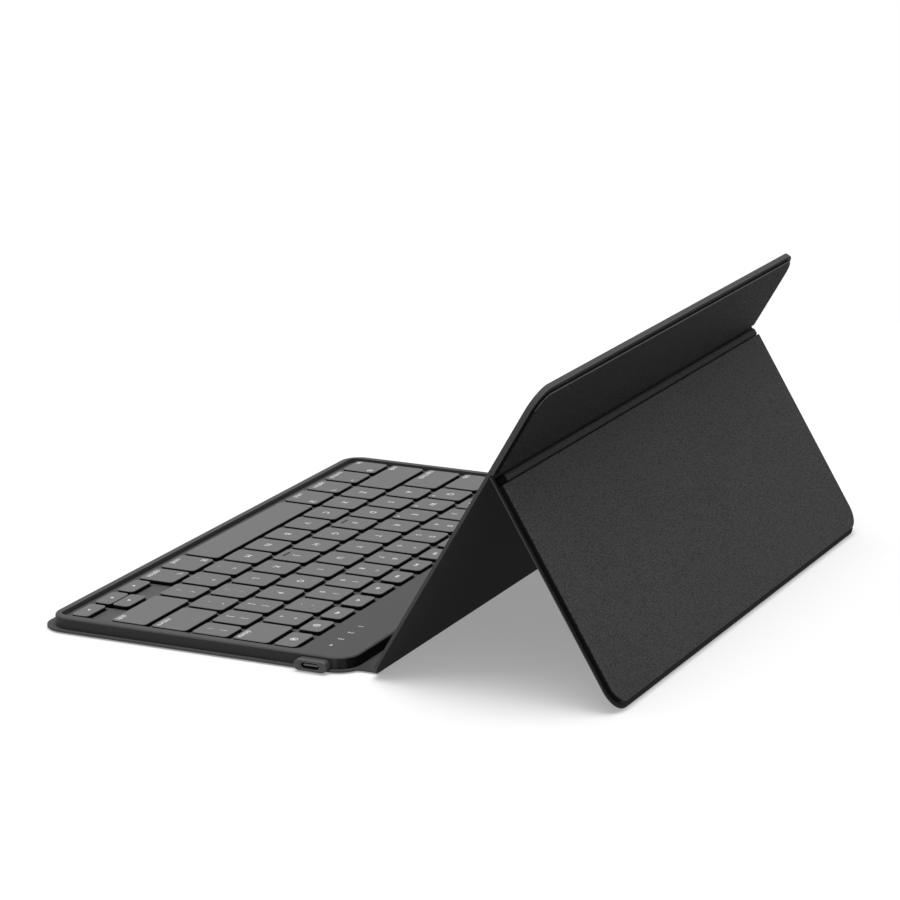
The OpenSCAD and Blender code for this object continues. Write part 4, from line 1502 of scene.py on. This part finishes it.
@dataclass
class Deck:
    """The deck: its shell, its socket, its lights and what is inside it."""

    light_symbols: tuple[str, ...] = ("1", "2", "3", "cell")
    symbol_size: float = 3.0 * MM
    cell_share: float = 0.7
    digit_share: float = 1.2
    symbol_setback: float = 1.9 * MM
    corner: float = 10.0 * MM
    rim_round: float = 1.1 * MM
    rim_inner: float = 4.0 * MM
    rear_shade_limits: tuple[float, float] = (0.35, 0.7)
    wall_limit: float = 0.5
    bezel_round: float = 0.45 * MM
    mouth_lead: float = 0.15 * MM
    mouth_room: float = 0.01 * MM
    shell_wall: float = 0.3 * MM
    shell_lead: float = 0.08 * MM
    small_round: float = 0.06 * MM
    tongue_round: float = 0.2 * MM
    contact_count: int = 12
    contact_pitch: float = 0.5 * MM
    contact_width: float = 0.26 * MM
    contact_proud: float = 0.03 * MM
    contact_sunk: float = 0.05 * MM
    contact_ends: Point2 = (3.0 * MM, 0.6 * MM)
    glyphs: Glyphs = Glyphs(stroke=0.12)

    def shells(self) -> None:
        """Rounds the edges of the deck's hard pieces."""
        for piece in (
            Softened("tray_floor", "tray_plate", "base", "tray_plastic", TRAY, 0.05 * MM, 1,
                     lowered=0.3 * MM),
            Softened("bottom_cover", "underside_cover", "base", "deck_plastic", COVER,
                     0.15 * MM, 2),
            Softened("battery_cells", "battery_pouches", "base", "cell_foil", FOIL,
                     0.5 * MM, 3),
            Softened("indicator_lights", "light_pipes", "base", "lens_plastic", LENS,
                     0.08 * MM, 2),
        ):
            piece.build()

    def housing(self) -> None:
        """Rounds the outer top edge of the deck's shell by cutting it with a rounded block, and
        paints shade on its outer walls, darker towards the back.
        """
        low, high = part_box("deck_shell")
        shape = bmesh.new()
        shape.from_mesh(frame["nodes"]["deck_shell"].data)
        bmesh.ops.remove_doubles(shape, verts=shape.verts, dist=MERGE_DISTANCE)
        centre = (low + high) / 2
        piece = new_object("deck_housing", finish_mesh(shape, "deck_housing"),
                           (DECK, DECK_WALL_SHADE, DECK_CORNER_SHADE, DECK_REAR_SHADE))
        envelope = Sheet(high.x, low.y, high.y, self.corner, self.corner,
                         crowned(low.z - 0.01 * MM, high.z, 0.0, self.rim_round, 7),
                         Matrix.Identity(4), 16)
        solid = new_object("envelope", envelope.mesh("envelope"), (DECK, DECK))
        carve(piece, solid, "INTERSECT")
        for polygon in piece.data.polygons:
            polygon.use_smooth = 0.02 < abs(polygon.normal.z) < 0.9999
            inside = (abs(polygon.center.x) < high.x - self.rim_inner
                      and low.y + self.rim_inner < polygon.center.y < high.y - self.rim_inner
                      or polygon.normal.dot(polygon.center - centre) < 0.0)
            # Outer walls take darker copies of the deck plastic by how far they face the back:
            # painted shade.
            if abs(polygon.normal.z) < self.wall_limit and not inside:
                polygon.material_index = 1 + sum(polygon.normal.y > limit
                                                 for limit in self.rear_shade_limits)
            else:
                polygon.material_index = 0
        settle(piece, "base", ("deck_shell",))

    def ring(self, box: tuple[Vector, Vector], x: float, inset: float) -> list[Vector]:
        """Returns a round-ended ring across the socket, drawn in by an inset.

        Args:
            box: the corners of its CAD node's box.
            x: where it lies.
            inset: how far it is drawn in.

        Returns:
            The ring's points.
        """
        low, high = box
        half_y, half_z = (high.y - low.y) / 2, (high.z - low.z) / 2
        radius = min(half_y, half_z)
        middle_y, middle_z = (low.y + high.y) / 2, (low.z + high.z) / 2
        return [Vector((x, middle_y + a, middle_z + b))
                for a, b in outline(half_y, -half_z, half_z, radius, radius, inset, 14)]

    def turned(self, name: str, rings: Sequence[Sequence[Vector]], finish: Finish,
               node: str, hollow: bool = False) -> None:
        """Makes one round-ended piece of the socket.

        Args:
            name: the piece's name.
            rings: its cross-sections, from the back.
            finish: its finish.
            node: the CAD node that it stands for.
            hollow: whether the last ring closes on the first.
        """
        shape = bmesh.new()
        if hollow:
            loft_tube(shape, rings)
        else:
            loft(shape, rings)
        piece = new_object(name, finish_mesh(shape, name), (finish,))
        settle(piece, "base", (node,))

    def socket(self) -> None:
        """Makes the charging socket: its surround, its metal shell and its tongue."""
        bezel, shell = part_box("socket_bezel"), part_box("socket_shell")
        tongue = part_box("socket_tongue")
        fillet, back, front = self.bezel_round, bezel[0].x, bezel[1].x
        rings = [self.ring(bezel, back, 0.0)]
        for n in range(7):
            angle = math.radians(15 * n)
            rings.append(self.ring(bezel, front - fillet * (1 - math.sin(angle)),
                                   fillet * (1 - math.cos(angle))))
        rings += [self.ring(shell, front, -self.mouth_room - self.mouth_lead),
                  self.ring(shell, front - self.mouth_lead, -self.mouth_room),
                  self.ring(shell, back, -self.mouth_room)]
        self.turned("socket_surround", rings, BEZEL, "socket_bezel", True)
        wall, back, front = self.shell_wall, shell[0].x, shell[1].x
        lead, small = self.shell_lead, self.small_round
        rings = [self.ring(shell, x, inset) for x, inset in (
            (back, 0.0), (front - lead, 0.0), (front, small), (front, wall - small),
            (front - lead, wall), (back + wall, wall))]
        # The shell's steel is darkened: painted shade inside the mouth.
        self.turned("socket_metal_shell", rings, SHELL_STEEL_SHADE, "socket_shell")
        back, front, tip = tongue[0].x, tongue[1].x, self.tongue_round
        rings = [self.ring(tongue, x, inset) for x, inset in (
            (back, 0.0), (front - tip, 0.0), (front - small, small), (front, tip))]
        self.turned("socket_tongue_block", rings, TONGUE, "socket_tongue")

    def symbols(self) -> None:
        """Prints a small symbol behind each light."""
        low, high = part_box("indicator_lights")
        count = len(self.light_symbols)
        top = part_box("deck_shell")[1].z
        step = (high.x - low.x - (high.y - low.y)) / (count - 1)
        shape = bmesh.new()
        for n, symbol in enumerate(self.light_symbols):
            where = Vector((low.x + (high.y - low.y) / 2 + n * step,
                            high.y + self.symbol_setback, top))
            if symbol in ICONS:
                ICONS[symbol].draw(self.glyphs, shape, self.cell_share * self.symbol_size, where)
            else:
                self.glyphs.text(shape, symbol, self.digit_share * self.symbol_size, where)
        piece = new_object("light_symbols", finish_mesh(shape, "symbols"), (PRINT, PRINT))
        settle(piece, "base")

    def contacts(self) -> None:
        """Lays a row of contacts on each face of the socket's tongue."""
        low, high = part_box("socket_tongue")
        sunk, proud = self.contact_sunk, self.contact_proud
        start = (low.y + high.y) / 2 - (self.contact_count - 1) * self.contact_pitch / 2
        for name, bottom, top in (("contacts_upper", high.z - sunk, high.z + proud),
                                  ("contacts_lower", low.z - proud, low.z + sunk)):
            flat = outline(self.contact_width / 2, low.x + self.contact_ends[0],
                           high.x - self.contact_ends[1], sunk, sunk, 0.0, 2)
            rings = [[Vector((y, start - x, z)) for x, y in flat] for z in (bottom, top)]
            piece = new_object(name, ringed(name, rings, mended=True), (GOLD,))
            RowTree().repeat(piece, self.contact_count, Vector((0, self.contact_pitch, 0)), GOLD)
            settle(piece, "base")

    def inside(self) -> None:
        """Gives the hidden CAD pieces their own finishes."""
        for node, finish in (("switch_plate", STEEL), ("dome_sheet", RUBBER),
                             ("circuit_board", BOARD), ("rim_magnets", NICKEL),
                             ("cover_magnets", NICKEL), ("leg_magnets", NICKEL),
                             ("panel_strip", STEEL)):
            mesh = frame["nodes"][node].data
            mesh.materials.clear()
            mesh.materials.append(finish.material())
            log.info("%s keeps its CAD shape", node)

    def build(self) -> None:
        """Makes every piece of the deck."""
        self.housing()
        self.shells()
        self.socket()
        self.symbols()
        self.contacts()
        self.inside()


def aim(item: bpy.types.Object, place: Vector, target: Vector) -> None:
    """Links a lamp or a camera to the scene, put in one place and pointed at another.

    Args:
        item: the lamp or the camera.
        place: where it stands.
        target: what it points at.
    """
    item.location = place
    item.rotation_euler = (target - place).to_track_quat("-Z", "Y").to_euler()
    bpy.context.scene.collection.objects.link(item)


@dataclass
class Studio:
    """The floor, the lights and the camera."""

    camera_place: tuple[float, float, float] = (1.4201, 0.7110, 0.4762)
    camera_target: tuple[float, float, float] = (0.0003, 0.0490, 0.0564)
    lens: float = 150.0
    sensor: float = 36.0
    clip: tuple[float, float] = (0.05, 200.0)
    floor_side: float = 1.1
    floor_gap: float = 0.6 * MM
    floor_grey: float = 0.43
    floor_glow: float = 0.30
    sky: float = 1.0
    lamp_power: float = 38.0
    lamp_side: float = 1.6
    lamp_place: tuple[float, float, float] = (0.1, 0.1, 1.9)
    lamp_target: tuple[float, float, float] = (0.0, 0.05, 0.05)

    def floor(self) -> None:
        """Makes the plain pale floor."""
        shape = bmesh.new()
        half = self.floor_side / 2
        shape.faces.new([shape.verts.new((*corner, -self.floor_gap))
                         for corner in block(-half, -half, half, half)])
        white = Finish("floor_white", grey(self.floor_grey), Grain.MOULDED, 0.05, 0.0, 0.9,
                       0.005, specular=0.0)
        new_object("floor", finish_mesh(shape, "floor"), (white,))
        shader = white.material().node_tree.nodes["Principled BSDF"]
        shader.inputs["Emission Color"].default_value = (1, 1, 1, 1)
        shader.inputs["Emission Strength"].default_value = self.floor_glow

    def world(self) -> None:
        """Makes the even white surroundings."""
        world = bpy.data.worlds.new("studio")
        world.use_nodes = True
        sky = world.node_tree.nodes["Background"]
        sky.inputs["Color"].default_value = (1, 1, 1, 1)
        sky.inputs["Strength"].default_value = self.sky
        bpy.context.scene.world = world

    def lamp(self) -> None:
        """Adds one soft square light overhead."""
        data = bpy.data.lights.new("overhead", "AREA")
        data.shape = "SQUARE"
        data.size = self.lamp_side
        data.energy = self.lamp_power
        aim(bpy.data.objects.new("overhead", data), Vector(self.lamp_place),
            Vector(self.lamp_target))

    def camera(self) -> None:
        """Makes the camera."""
        data = bpy.data.cameras.new("camera")
        data.lens = self.lens
        data.sensor_width = self.sensor
        data.clip_start, data.clip_end = self.clip
        camera = bpy.data.objects.new("camera", data)
        aim(camera, Vector(self.camera_place), Vector(self.camera_target))
        bpy.context.scene.camera = camera

    def build(self) -> None:
        """Sets up the whole studio."""
        bpy.context.scene.view_settings.view_transform = "Standard"
        self.camera()
        self.floor()
        self.world()
        self.lamp()


def write_size() -> None:
    """Updates the view layer."""
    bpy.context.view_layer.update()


def main() -> None:
    """Builds the studio and every visible piece."""
    logging.basicConfig(level=logging.INFO, format="%(message)s")
    Studio().build()
    Wrap().build()
    Deck().build()
    Keys().build()
    write_size()


if __name__ == "__main__":
    main()
